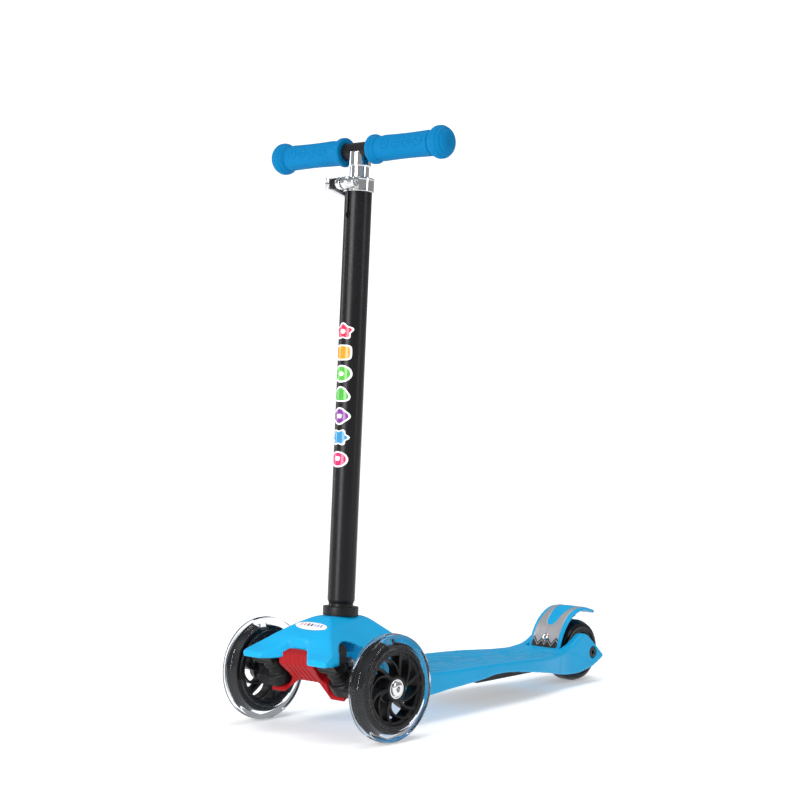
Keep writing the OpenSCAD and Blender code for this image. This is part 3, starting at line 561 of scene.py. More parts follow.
def capped(grid: Array) -> Array:
    """Closes both ends of a swept grid: adds a row at each end whose points all lie at its middle."""
    middle = grid.mean(axis=1, keepdims=True)
    first = np.broadcast_to(middle[:1], grid[:1].shape)
    return np.concatenate([first, grid, np.broadcast_to(middle[-1:], grid[:1].shape)])


# --- the blue moulding


def two_sided(points: Sequence[Point2]) -> list[Point2]:
    """Mirrors points (place, half width) into a closed outline (x, place) on both sides."""
    return [(w, y) for y, w in points] + [(-w, y) for y, w in reversed(points)]


def mirrored(points: Sequence[Point2]) -> list[Point2]:
    """Adds the mirror image of points (x, height) in reverse order."""
    return list(points) + [(-x, z) for x, z in reversed(points)]


@dataclass
class Deck:
    """Footboard, nose and rear fork in one blue moulding, with its relief and its badge.

    Every outline is in millimetres from the front axle; heights are above the ground.
    """

    wall: float = 3.6
    edge: float = 3.2
    wing: float = 1.6
    room: float = 27.0
    fork: float = 38.0
    cell: float = 1.75
    board_plan: Sequence[Point2] = (
        (8, 63), (40, 64), (110, 64.5), (160, 63.5), (219.4, 61), (292.5, 59), (324.5, 56), (349.6, 51),
        (375, 45), (395, 39.5), (412, 38), (560, 38))
    board_top: Sequence[Point2] = (
        (8, 62), (90, 61), (115, 58), (160, 56.4), (219.4, 54.6), (292.5, 51.5), (349.6, 47.4),
        (382, 47.2), (402, 49.4))
    fork_top: Sequence[Point2] = (
        (382, 47.2), (398, 50), (411, 54), (424, 61), (432, 65.5), (440, 66), (447, 63), (460, 52),
        (481.5, 33))
    fork_bottom: Sequence[Point2] = ((463, 24), (450, 20.6), (428, 16.8), (402, 17.6), (376, 22))
    board_bottom: Sequence[Point2] = (
        (354, 26.3), (324.5, 31.4), (283, 37.6), (256, 40.7), (233, 41), (215, 38.7), (183, 36.5), (142, 35),
        (111, 32), (60, 36), (40, 47), (8, 53))
    nose_side: Sequence[Point2] = (
        (-66.6, 85.2), (-65.4, 91.6), (-54, 97.0), (-46, 102.6), (-36, 111), (-20, 121.5), (-2, 130),
        (24, 130), (48, 127), (64, 108), (76, 95), (100, 69), (112, 58))
    nose_front: Sequence[Point2] = (
        (70, 20), (70, 88), (62, 97.3), (50, 105.8), (38, 114.3), (30, 119.8), (26, 122.6), (16, 128),
        (8, 131))

    def build(self) -> list[Piece]:
        """Builds the moulding, the relief on its top and the badge.

        Returns:
            The three pieces.
        """
        return [given(self.moulding(), "root", "blue_plastic", "deck"),
                given(self.relief(), "root", "blue_plastic"),
                given(self.badge(), "root", "badge_print", "nose_badge")]

    def board_line(self) -> Array:
        """Gives the side outline of the board, its corners softened."""
        return softened([*self.board_top, *self.fork_bottom, *self.board_bottom], 2, 0.18)

    def moulding(self) -> Piece:
        """Makes the skin of the whole moulding.

        The board is what its plan and its side outline have in common, the nose
        what its side, front and plan have in common, each with rounded edges. The
        hollow is the same shape drawn in by the wall and left open below.

        Returns:
            The piece.
        """
        plan = Outline(two_sided(self.board_plan), 2)
        board = Outline(self.board_line())
        fork = Outline([*self.fork_top, *self.fork_bottom], 1, 0.12)
        floor = [(112, 32), (60, 36), (40, 47), (-52, 85.2)]
        side = Outline([*self.nose_side, *floor], 1, 0.10)
        front = Outline(mirrored(self.nose_front), 1, 0.10)
        shoulder = Outline(two_sided([(-90, 70), (12, 70), (40, 64), (140, 64)]), 2)
        open_board = Outline([*self.board_top, (402, -20), (8, -20)], 1, 0.1)
        open_nose = Outline([(-66.6, -30), *self.nose_side, (112, -30)], 1, 0.1)
        notch = Outline(mirrored([(39.5, -90), (39.5, -67.6), (14, -41.8), (8, -40.6)]), 1, 0.06)
        arch = Outline([(-60, 83), (-47, 86.5), (-41.6, 93.8), (-35.7, 100), (-26, 105.5), (-18, 107.4),
                        (-7, 105), (6, 96), (22, 80), (40, 48), (40, 0), (-60, 0)], 1, 0.12)
        badge_pose = self.badge_pose()
        wall, edge = self.wall, self.edge
        rear = (0.0, PLACE.rear_y, PLACE.rear_z)

        def shape(x: Array, y: Array, z: Array) -> Array:
            """Joins board, nose and fork, cuts out the hollow, the notch, the arches and the holes."""
            across = plan(x, y)
            nose = both(both(side(y, z), front(x, z), self.wing), shoulder(x, y), edge)
            solid = either(both(across, board(y, z), edge), without(nose, notch(x, y), 1.8), 3.0)
            inner_nose = both(both(open_nose(y, z), front(x, z), self.wing), shoulder(x, y), edge) + wall
            inner_board = both(across, open_board(y, z), 1.0) + wall
            inner = either(inner_board, without(inner_nose, notch(x, y) - wall))
            inner = both(inner, y - 369)
            solid = without(solid, inner, 0.6)
            solid = without(solid, arch(y, z), 1.2)
            socket = rod(*POST.inwards(x, y, z), 17.3, -58, -4)
            solid = either(solid, both(socket, nose), 1.0)
            solid = either(solid, both(across, fork(y, z), 2.4), 2.0)
            solid = without(solid, block(x, y, z, (-self.room, 397, -20), (self.room, 560, 200)), 1.4)
            solid = without(solid, block(x, y, z, (-self.room, 383, 27), (self.room, 470, 44.6)), 1.0)
            recess = np.hypot(y - rear[1], z - rear[2])
            solid = without(solid, both(recess - 8, self.fork - 4 - np.abs(x)), 0.7)
            solid = without(solid, recess - 4.1)
            a, b, c = POST.inwards(x, y, z)
            solid = without(solid, rod(a, b, c, 21.4, -16.6, 60), 0.9)
            solid = without(solid, rod(a, b, c, 13.2, -90, 60))
            u, v, w = badge_pose.inwards(x, y, z)
            return without(solid, both(self.oval(u, v, 25.2, 7.1), -w), 0.5)

        return skin("deck_moulding", shape, (-70, -66.6, 16), (70, 480, 131.5), self.cell)

    @staticmethod
    def badge_pose() -> Pose:
        """Gives the frame of the badge: Z out of the nose's front slope."""
        tilt = math.radians(29)
        return upright((0, -21.3, 119.95), (0, -math.sin(tilt), math.cos(tilt)))

    @staticmethod
    def oval(u: Array, v: Array, half_length: float, half_width: float) -> Array:
        """Distance to an ellipse, near enough: the stretched radius less one, times the half width."""
        return (np.sqrt((u / half_length) ** 2 + (v / half_width) ** 2) - 1) * half_width

    def badge(self) -> Piece:
        """Makes the badge: a low dome on an ellipse, lower by the fourth power of the radius.

        Returns:
            The piece.
        """
        part = np.concatenate([[0.0], np.linspace(0.05, 0.94, 18), [0.975, 0.995, 1.0, 1.0, 0.9, 0.0]])
        height = np.concatenate([1.5 - 0.5 * part[:-4] ** 4, [0.75], [0.0, 0.0, 0.0]])
        angle = np.linspace(0, 2 * math.pi, 96, endpoint=False)
        u = 24.6 * part[:, None] * np.cos(angle)
        v = 6.5 * part[:, None] * np.sin(angle)
        w = np.broadcast_to(height[:, None] + 0.1, u.shape)
        points = self.badge_pose().outwards(np.stack([u, v, w], axis=-1).reshape(-1, 3))
        piece = into_scene("nose_badge_dome", points, grid_faces(len(part), 96, close_columns=True))
        merge_close(piece)
        return piece

    def top_height(self, y: Array) -> Array:
        """Gives the height of the board's top along Y: the smooth line through the outline's points."""
        line = self.board_line()
        upper = line[:np.argmax(line[:, 0])]
        upper = upper[np.argsort(upper[:, 0])]
        upper = upper[(upper[:, 1] > 44) & (upper[:, 0] > 20)]
        return np.interp(y, upper[:, 0], upper[:, 1])

    def relief(self) -> Piece:
        """Makes the footboard's raised pattern: a thin sheet with leaves and ridges in its height.

        The sheet runs from 8 mm inside one edge to 8 mm inside the other. Its height
        is the pattern's, and falls below the board at its rim, so that it grows out of it.

        Returns:
            The piece.
        """
        rows, columns = 420, 150
        y = np.linspace(104, 374, rows)[:, None]
        across = np.linspace(-1, 1, columns)[None, :]
        widths = np.array(self.board_plan)
        half = np.interp(y, widths[:, 0], widths[:, 1]) - 7.6
        half = half * np.sqrt(1 - 0.55 * smooth_step(y, 342, 376))
        half = half * np.sqrt(1 - 0.25 * (1 - smooth_step(y, 102, 122)))
        x = across * half
        rim = smooth_step(np.minimum(half - np.abs(x), np.minimum(y - 104, 374 - y)), 0.0, 1.2)
        height = -0.5 + 0.62 * rim + 0.62 * self.leaves(x, y, half) * rim
        top = np.stack([x, np.broadcast_to(y, x.shape), self.top_height(y) + height], axis=-1)
        below = top - np.array([0, 0, 1.2]) - np.array([0, 0, 1.0]) * height[..., None]
        points = np.concatenate([top.reshape(-1, 3), below.reshape(-1, 3)])
        upper = grid_faces(rows, columns, flipped=True)
        lower = grid_faces(rows, columns) + rows * columns
        ring = np.concatenate([
            np.arange(columns), np.arange(1, rows) * columns + columns - 1,
            (rows - 1) * columns + np.arange(columns - 2, -1, -1), np.arange(rows - 2, 0, -1) * columns])
        after = np.roll(ring, -1)
        rims = np.stack([ring, after, after + rows * columns, ring + rows * columns], axis=1)
        piece = into_scene("deck_relief", points, np.vstack([upper, lower, rims[:, ::-1]]))
        merge_close(piece)
        return piece

    @staticmethod
    def leaves(x: Array, y: Array, half: Array) -> Array:
        """Gives the pattern's height from 0 to 1: a border, a spine of long leaves, and ridges between them.

        A leaf is the space between two arcs; its rim is a ridge where its distance
        from the middle of the leaf is near the leaf's half width. The same leaves
        stand on both sides, drawn on the absolute value of x.

        Args:
            x: Places across the board.
            y: Places along it.
            half: Half width of the patterned field.

        Returns:
            The heights.
        """
        a = np.abs(x)

        def ridge(distance: Array, width: float = 1.0) -> Array:
            """Raises a soft ridge where a distance is near zero."""
            return 1 - smooth_step(np.abs(distance), width * 0.45, width * 1.25)

        def leaf(x0: float, y0: float, x1: float, y1: float, fat: float, bend: float) -> tuple[Array, Array]:
            """Gives the rim and the filling of one leaf between two tips."""
            dx, dy = x1 - x0, y1 - y0
            long = math.hypot(dx, dy)
            s = ((a - x0) * dx + (y - y0) * dy) / long ** 2
            off = ((a - x0) * dy - (y - y0) * dx) / long - bend * np.sin(math.pi * np.clip(s, 0, 1))
            width = fat * np.sin(math.pi * np.clip(s, 0, 1)) ** 0.8
            within = (s > 0) & (s < 1)
            edge = np.where(within, ridge(np.abs(off) - width), 0)
            return edge, np.where(within & (np.abs(off) < width), 1.0, 0.0)

        border = ridge(half - a - 4.5, 1.1) * (y > 108) * (y < 370)
        ends = ridge(y - 109.5, 1.1) + ridge(y - 368.5, 1.1)
        height = np.maximum(border, np.clip(ends * (a < half - 4), 0, 1))
        shapes = ((6, 122, 40, 176, 7.5, 5.0), (4, 172, 30, 128, 4.5, -3.0), (44, 150, 30, 214, 5.0, -4.0),
                  (6, 196, 42, 236, 6.0, 5.0), (2, 232, 26, 196, 4.2, -2.5), (43, 214, 28, 268, 4.6, -4.5),
                  (5, 250, 38, 292, 5.6, 4.5), (2, 288, 24, 252, 4.0, -2.0), (40, 270, 22, 322, 4.4, -4.0),
                  (4, 304, 30, 340, 4.8, 3.5), (2, 344, 18, 312, 3.2, -1.5), (31, 322, 12, 360, 3.4, -2.5))
        filling = np.zeros_like(x + y)
        for shape in shapes:
            rim, inside = leaf(*shape)
            height = np.maximum(height * (1 - inside), rim)
            filling = np.maximum(filling, inside)
        spine = ridge(a - 1.2 - 1.2 * np.sin((y - 110) * math.pi / 54) ** 2, 0.9) * (y > 114) * (y < 364)
        veins = 0.35 * (0.5 + 0.5 * np.cos(2 * math.pi * (y + 0.6 * a) / 5.0)) * filling
        return np.maximum(np.maximum(height, spine * (1 - filling)), veins)


# --- steering parts


@dataclass
class Steering:
    """Red housing between the kingpins, black blocks over them and the two black axle holders."""

    pin: float = 50.3
    flange: float = 13.7
    flange_low: float = -4.0
    barrel: float = 11.5
    barrel_top: float = 32.0
    skirt: float = 16.0
    skirt_top: float = 15.0
    arm: float = 20.0
    gap: float = 0.5

    def build(self) -> list[Piece]:
        """Builds the housing, the blocks and both axle holders.

        Returns:
            The pieces.
        """
        pieces = [given(self.housing(), "root", "red_plastic", "steering_housing")]
        for side in Side:
            nodes = ["kingpin_blocks"] if side is Side.LEFT else []
            pieces.append(given(self.upper_block(side), "root", "black_plastic", *nodes))
            pieces.append(given(self.holder(side), f"axle_holder_{side.word}", "black_plastic",
                                f"knuckle_{side.word}"))
        return pieces

    def housing(self) -> Piece:
        """Makes the red housing: what its front, side and plan have in common, with flutes in front.

        Returns:
            The piece.
        """
        king = upright((0.0, PLACE.kingpin[1], PLACE.kingpin[2]), PLACE.kingpin_axis)
        pin, low = self.pin, self.flange_low
        front = Outline(mirrored([
            (15.4, 8), (pin - 13.3, low), (pin + 20, low), (pin + 20, 0), (pin - 16.8, 0), (pin - 21.5, 6),
            (pin - 26, 13), (pin - 26.2, 20), (pin - 23, 31), (pin - 23, 47), (pin - 30, 60),
            (pin - 30, 90)]), step=0.4)
        side = Outline([(-28.8, 39), (-26, 58.7), (-46, 79), (-47.5, 92), (-41.5, 96.6), (4.9, 96.6),
                        (4.9, 55), (20, 35)], step=0.4)
        plates = Outline([(-pin, self.flange - 1), (-pin - 9, -20), (pin + 9, -20),
                          (pin, self.flange - 1)], step=0.4)

        def shape(x: Array, y: Array, z: Array) -> Array:
            """Crosses the three outlines, then cuts the flutes, the pin holes and the tie plate's channel."""
            u, v, w = king.inwards(x, y, z)
            discs = np.hypot(np.abs(u) - pin, v) - self.flange
            body = block(u, v, w, (23 - pin, 0, -50), (pin - 23, 60, 99), 1.0)
            plan = either(either(discs, plates(u, v), 2.0), body, 1.0)
            solid = both(both(front(u, w), plan, 1.0), side(y, z), 1.4)
            groove = np.abs((np.abs(x) + 3.5) % 7 - 3.5) + np.where(np.abs(x) < 17.5, 0, 40)
            flute = both(groove - 0.8, -(side(y, z) + 0.5 + 0.6 * smooth_step(78 - z, 0, 10)), 0.3)
            flute = both(flute, np.maximum(y + 18, z - 92), 0.5)
            solid = without(solid, flute, 0.4)
            solid = without(solid, np.hypot(np.abs(u) - pin, v) - 4.05)
            near, far = self.arm - 7.6, self.arm + 7.6
            solid = without(solid, block(u, v, w, (-pin, near, 17), (pin, far, 23)), 0.4)
            return without(solid, block(u, v, w, (-17, near, 18), (17, far, 32)), 0.4)

        return skin("steering_housing_shell", shape, (-64.2, -48, 39), (64.2, 14, 97), 0.8)

    def upper_block(self, side: Side) -> Piece:
        """Makes the black block that holds a kingpin's top under the nose.

        Args:
            side: Side of the scooter.

        Returns:
            The piece.
        """
        low = self.barrel_top + self.gap
        wedge = Outline([(-13, low), (13, low), (18, low + 26), (-18, low + 26)], 1, 0.08, 0.3)
        limit = Outline([*Deck.nose_side, (112, 29), (-66.6, 29)], 1, 0.1)
        front = Outline(mirrored(Deck.nose_front), 1, 0.1)
        pose = kingpin_pose(side)

        def shape(u: Array, v: Array, w: Array) -> Array:
            """Crosses the wedge with the room under the nose and bores it for the pin and its nut."""
            y = PLACE.kingpin[1] + v * pose.y_axis[1] + w * pose.z_axis[1]
            z = PLACE.kingpin[2] + v * pose.y_axis[2] + w * pose.z_axis[2]
            # The tail carries the block rearwards under the wing, so that the opening behind the wing shows black:
            # painted shade standing in for the shaded inner wall there.
            tail = both(between(u, -13, 17), between(w, 36, low + 26))
            solid = both(either(both(wedge(u, w), v - 13), both(tail, v - 26)), -13 - v, 1.2)
            solid = both(solid, limit(y, z) + 3.0, 0.8)
            solid = both(solid, front(pose.x_axis[0] * u + side.value * self.pin, z) + 3.0, 0.8)
            shelf = between(w, low + 3.4, low + 4.8)
            solid = without(solid, both(shelf, 12.2 - np.abs(v), 0.2), 0.4)
            solid = without(solid, np.hypot(u, v) - 4.0)
            return without(solid, both(np.hypot(u, v) - 8, low + 6 - w))

        return skin(f"kingpin_block_{side.word}", shape, (-18, -13, low), (18, 26, low + 26), 0.7, pose)

    def holder(self, side: Side) -> Piece:
        """Makes one axle holder: barrel, skirt, web out to the wheel, and tie arm.

        Args:
            side: Side of the scooter.

        Returns:
            The piece.
        """
        pose = kingpin_pose(side)
        lean = math.atan2(-pose.z_axis[1], pose.z_axis[2])
        arm_y = -PLACE.kingpin[1] * math.cos(lean) + (PLACE.front_z - PLACE.kingpin[2]) * math.sin(lean)
        arm_z = PLACE.kingpin[1] * math.sin(lean) + (PLACE.front_z - PLACE.kingpin[2]) * math.cos(lean)
        gap, top = self.gap, self.skirt_top
        web = Outline([(-15.6, gap), (-15.6, top - 2), (2, top), (arm_y + 4, top - 2),
                       (arm_y + 10, arm_z + 6), (arm_y + 10, arm_z - 4), (arm_y + 4, arm_z - 10),
                       (arm_y - 6, arm_z - 10), (2, arm_z - 4)], 1, 0.2, 0.3)
        reach = PLACE.wheel_x - 12 - self.pin - 12

        def shape(u: Array, v: Array, w: Array) -> Array:
            """Joins barrel, skirt, web and boss with fillets, then bores the pin, axle and nut holes."""
            barrel = rod(u, v, w, self.barrel, gap, self.barrel_top, 1.0)
            skirt = rod(u, v, w, self.skirt, gap, top, 2.2)
            web_part = both(web(v, w), between(u, 0, reach), 1.4)
            web_part = without(web_part, rod(u, v, w, self.flange + 0.8, -60, gap), 0.5)
            boss = rod(v - arm_y, w - arm_z, u, 10.5, 16, PLACE.wheel_x - 13.8 - self.pin, 0.9)
            body = either(either(barrel, skirt, 2.0), web_part, 2.5)
            body = either(body, boss, 2.5)
            collar = rod(u, v, w, self.barrel + 0.9, 24, 27.5, 0.6)
            body = either(body, collar, 0.8)
            low = 18 - gap - 8
            plan = np.minimum(np.hypot(u, v - self.arm) - 8,
                              both(np.abs(u) - 8, between(v, 0, self.arm)))
            ear = both(plan, between(w, low, low + 8), 1.0)
            body = either(body, ear, 1.2)
            body = without(body, np.hypot(u, v) - 5.5)
            body = without(body, both(np.hypot(u, v - self.arm) - 2.5, low - 1 - w))
            body = without(body, np.hypot(v - arm_y, w - arm_z) - 4.0)
            nut = rod(v - arm_y, w - arm_z, u, 8.0, -30, 18)
            body = without(body, nut, 0.4)
            groove = np.hypot(v - arm_y, w - arm_z) - 5.9
            ring = both(both(groove, -groove - 1.2), PLACE.wheel_x - 14.6 - self.pin - u)
            return without(body, ring, 0.3)

        return skin(f"axle_holder_{side.word}", shape, (-16, -16, -12), (38, 40, 33), 0.75, pose)


# --- wheels


def rounded_loop(corners: Sequence[tuple[float, float, float]], steps: int = 7) -> Array:
    """Rounds the corners of a closed profile: each becomes an arc of its own radius, taken at equal angles.

    Args:
        corners: Radius, place along the axis and rounding of each corner, in order.
        steps: Points in each arc.

    Returns:
        The points of the closed profile.
    """
    p = np.array(corners, float)[:, :2]
    size = np.array(corners, float)[:, 2]
    back, ahead = np.roll(p, 1, axis=0) - p, np.roll(p, -1, axis=0) - p
    back_length, ahead_length = np.linalg.norm(back, axis=1), np.linalg.norm(ahead, axis=1)
    back, ahead = back / back_length[:, None], ahead / ahead_length[:, None]
    half = np.arccos(np.clip((back * ahead).sum(axis=1), -1, 1)) / 2
    cut = np.minimum(size / np.tan(half), 0.49 * np.minimum(back_length, ahead_length))
    radius = cut * np.tan(half)
    middle = back + ahead
    middle = middle / np.maximum(np.linalg.norm(middle, axis=1), 1e-9)[:, None]
    centre = p + middle * (radius / np.sin(half))[:, None]
    start, end = p + back * cut[:, None] - centre, p + ahead * cut[:, None] - centre
    share = np.linspace(0, 1, steps)[None, :, None]
    turn = math.pi - 2 * half[:, None, None]
    mixed = (np.sin((1 - share) * turn) * start[:, None] + np.sin(share * turn) * end[:, None]) / np.sin(turn)
    return (centre[:, None] + mixed).reshape(-1, 2)


def doubled(half: list[Corner]) -> list[Corner]:
    """Adds the mirror image of half a wheel's profile, without its last corner, which lies in the middle."""
    return half + [(a, -b, c) for a, b, c in reversed(half[:-1])]


@dataclass
class FrontWheel:
    """Front wheel of one side: a clear tyre cast round a black core with swirled, forked spokes."""

    side: Side
    radius: float = 60.0
    half_width: float = 12.0
    rim: float = 44.4
    rim_in: float = 40.0
    band: float = 49.6
    spokes: int = 6
    gaps: Sequence[float] = (95.0, 22.0, -52.0)

    @property
    def centre(self) -> tuple[float, float, float]:
        """Middle of the wheel, in millimetres from the front axle."""
        return (self.side.value * PLACE.wheel_x, 0.0, PLACE.front_z)

    def build(self) -> list[Piece]:
        """Builds the tyre, the core, the bearings' caps and the bolt's head.

        Returns:
            The pieces.
        """
        word = self.side.word
        made = ((self.tyre(), "front_wheel", "clear_tyre", "front_tyre"),
                (self.core(), "front_wheel", "black_plastic", "front_core"),
                (self.bearings(), "front_wheel", "chrome", "front_bearings"),
                (self.bolt(), "axle_holder", "chrome", "front_axle"))
        return [given(piece, f"{body}_{word}", slot, f"{node}_{word}") for piece, body, slot, node in made]

    def tyre(self) -> Piece:
        """Turns the tyre: a crowned tread, round shoulders, hollowed sides and a lip against the rim.

        Returns:
            The piece.
        """
        w, r = self.half_width, self.radius
        half = [(42.4, w - 1.2, 0.3), (45.2, w - 1.0, 0.5), (46.0, w, 0.7), (48.2, w, 1.6),
                (54.4, w - 0.9, 6.0), (r - 1.1, 7.0, 6.0), (r, 0.0, 16.0)]
        loop = rounded_loop(doubled(half), 9)
        return lathe(f"front_tyre_{self.side.word}_cast", loop, 192, self.centre)

    def core(self) -> Piece:
        """Makes the core: hub, rim, a band inside the tyre with gaps in it, and forked spokes.

        A spoke is the strip round a spiral whose angle grows with the square of the
        radius. Two such strips start together at the hub and part towards the rim.

        Returns:
            The piece.
        """
        x0, y0, z0 = self.centre
        sign = self.side.value
        step = 2 * math.pi / self.spokes

        def spiral(radius: Array, angle: Array, bend: float, lead: float) -> Array:
            """Distance across from the nearest of the evenly spaced spirals."""
            t = np.clip((radius - 12) / 29, 0, 1.2)
            off = angle - sign * (bend * t ** 1.35 + lead)
            return np.abs((off + step / 2) % step - step / 2) * radius

        def shape(x: Array, y: Array, z: Array) -> Array:
            """Joins hub, rim, band and spokes, and bores the hub."""
            u, r = (x - x0) * sign, np.hypot(y - y0, z - z0)
            angle = np.arctan2(z - z0, y - y0)
            rim = both(both(r - self.rim, self.rim_in - r), np.abs(u) - 10.9, 0.8)
            step_in = both(both(r - self.rim_in - 0.5, 36.4 - r), np.abs(u) - 7.6, 0.8)
            band = both(both(r - self.band, self.rim - 1 - r), np.abs(u) - 6.0, 1.0)
            for gap in self.gaps:
                across = np.abs((angle - math.radians(gap) + math.pi) % (2 * math.pi) - math.pi) * r
                band = without(band, both(across - 7.0, 46.4 - r), 1.0)
            hub = both(r - 14.2, np.abs(u) - 10.4, 1.0)
            flare = both(r - 17.0 + 0.35 * (np.abs(u)), np.abs(u) - 8.6, 1.0)
            near = spiral(r, angle, 1.15, 0.0) - 1.7 - 0.012 * r
            far = spiral(r, angle, 0.36, 0.0) - 1.7 - 0.012 * r
            top = 9.4 - 3.4 * np.sin(math.pi * np.clip((r - 12) / 28, 0, 1))
            spokes = both(either(near, far, 0.8), np.abs(u) - top, 0.9)
            spokes = both(spokes, both(r - 40.6, 13.0 - r))
            solid = either(either(rim, step_in, 0.8), either(hub, flare, 1.0), 0.5)
            solid = either(either(solid, spokes, 1.2), band, 0.4)
            solid = without(solid, r - 8.2)
            return without(solid, both(r - 11.02, 3.0 - np.abs(u)), 0.2)

        reach = self.band
        return skin(f"front_core_{self.side.word}_moulding", shape,
                    (x0 - 11, y0 - reach, z0 - reach), (x0 + 11, y0 + reach, z0 + reach), 0.72)

    def bearings(self) -> Piece:
        """Turns the two bearings: an outer race, a recessed dust shield and an inner race.

        Returns:
            The piece.
        """
        loop = rounded_loop([(4.06, 3.0, 0.02), (11, 3.0, 0.02), (11, 10.0, 0.4), (9.4, 10.0, 0.3),
                             (9.2, 9.5, 0.1), (6.4, 9.5, 0.1), (6.2, 10.0, 0.3), (4.06, 10.0, 0.3)], 3)
        flip = loop[::-1] * np.array([1, -1])
        name = f"front_bearings_{self.side.word}_turned"
        parts = [lathe(name + tail, part, 96, self.centre) for tail, part in (("", loop), ("_in", flip))]
        return joined(name, parts)

    def bolt(self) -> Piece:
        """Makes the axle bolt: a shank, a domed round head with a chamfered rim, and a hexagon socket.

        Returns:
            The piece.
        """
        x0, y0, z0 = self.centre
        sign = self.side.value

        def shape(x: Array, y: Array, z: Array) -> Array:
            """Joins shank and head and cuts the socket."""
            u, b, c = (x - x0) * sign, y - y0, z - z0
            r = np.hypot(b, c)
            head = both(both(r - 8, between(u, 10.2, 12.5), 0.5), np.hypot(r, u + 14) - 26.6, 0.3)
            washer = both(r - 8.0, between(u, 10.2, 10.9), 0.2)
            body = either(head, washer, 0.2)
            body = either(body, both(r - 4, between(u, -39.5, 10.6)))
            body = without(body, both(hexagon(b, c, 2.9), 8.6 - u), 0.15)
            return without(body, both(np.hypot(r, u - 15.1) - 4.2, -0.1 - u), 0.1)

        low, high = sorted((x0 - 39.7 * sign, x0 + 12.6 * sign))
        return skin(f"front_axle_{self.side.word}_bolt", shape,
                    (low, y0 - 8, z0 - 8), (high, y0 + 8, z0 + 8), 0.4)


def joined(name: str, parts: Sequence[Piece]) -> Piece:
    """Joins mesh objects into one and gives it a name.

    Args:
        name: Name of the joined piece.
        parts: Objects to join; the first one stays.

    Returns:
        The joined piece.
    """
    work = bpy.context.copy()
    work["active_object"] = work["object"] = parts[0]
    work["selected_editable_objects"] = work["selected_objects"] = list(parts)
    with bpy.context.temp_override(**work):
        bpy.ops.object.join()
    parts[0].name = name
    parts[0].data.name = name
    return parts[0]


@dataclass
class RearWheel:
    """Rear wheel: a black cast tyre with crowned tread on a black dished core."""

    radius: float = 40.0
    half_width: float = 18.0

    def build(self) -> list[Piece]:
        """Builds the tyre and its core.

        Returns:
            The pieces.
        """
        centre = (0.0, PLACE.rear_y, PLACE.rear_z)
        w, r = self.half_width, self.radius
        half = [(27.6, w - 2.2, 0.3), (29.0, w - 0.6, 0.8), (31.0, w, 1.2), (r - 4.2, w - 1.5, 7.0),
                (r - 0.2, 8.0, 9.0), (r, 0.0, 30.0)]
        tyre = lathe("rear_tyre_cast", rounded_loop(doubled(half), 8), 160, centre)
        side = [(8.2, 16.0, 0.2), (14.4, 16.0, 0.8), (15.2, 12.6, 0.8), (23.8, 12.6, 1.0),
                (25.0, 16.2, 0.8), (28.0, 16.2, 0.4)]
        loop = rounded_loop([(a, -b, c) for a, b, c in side] + side[::-1], 6)
        core = lathe("rear_core_moulding", loop[::-1], 128, centre)
        return [given(tyre, "rear_wheel", "black_tyre", "rear_tyre"),
                given(core, "rear_wheel", "black_plastic", "rear_core")]


# --- brake


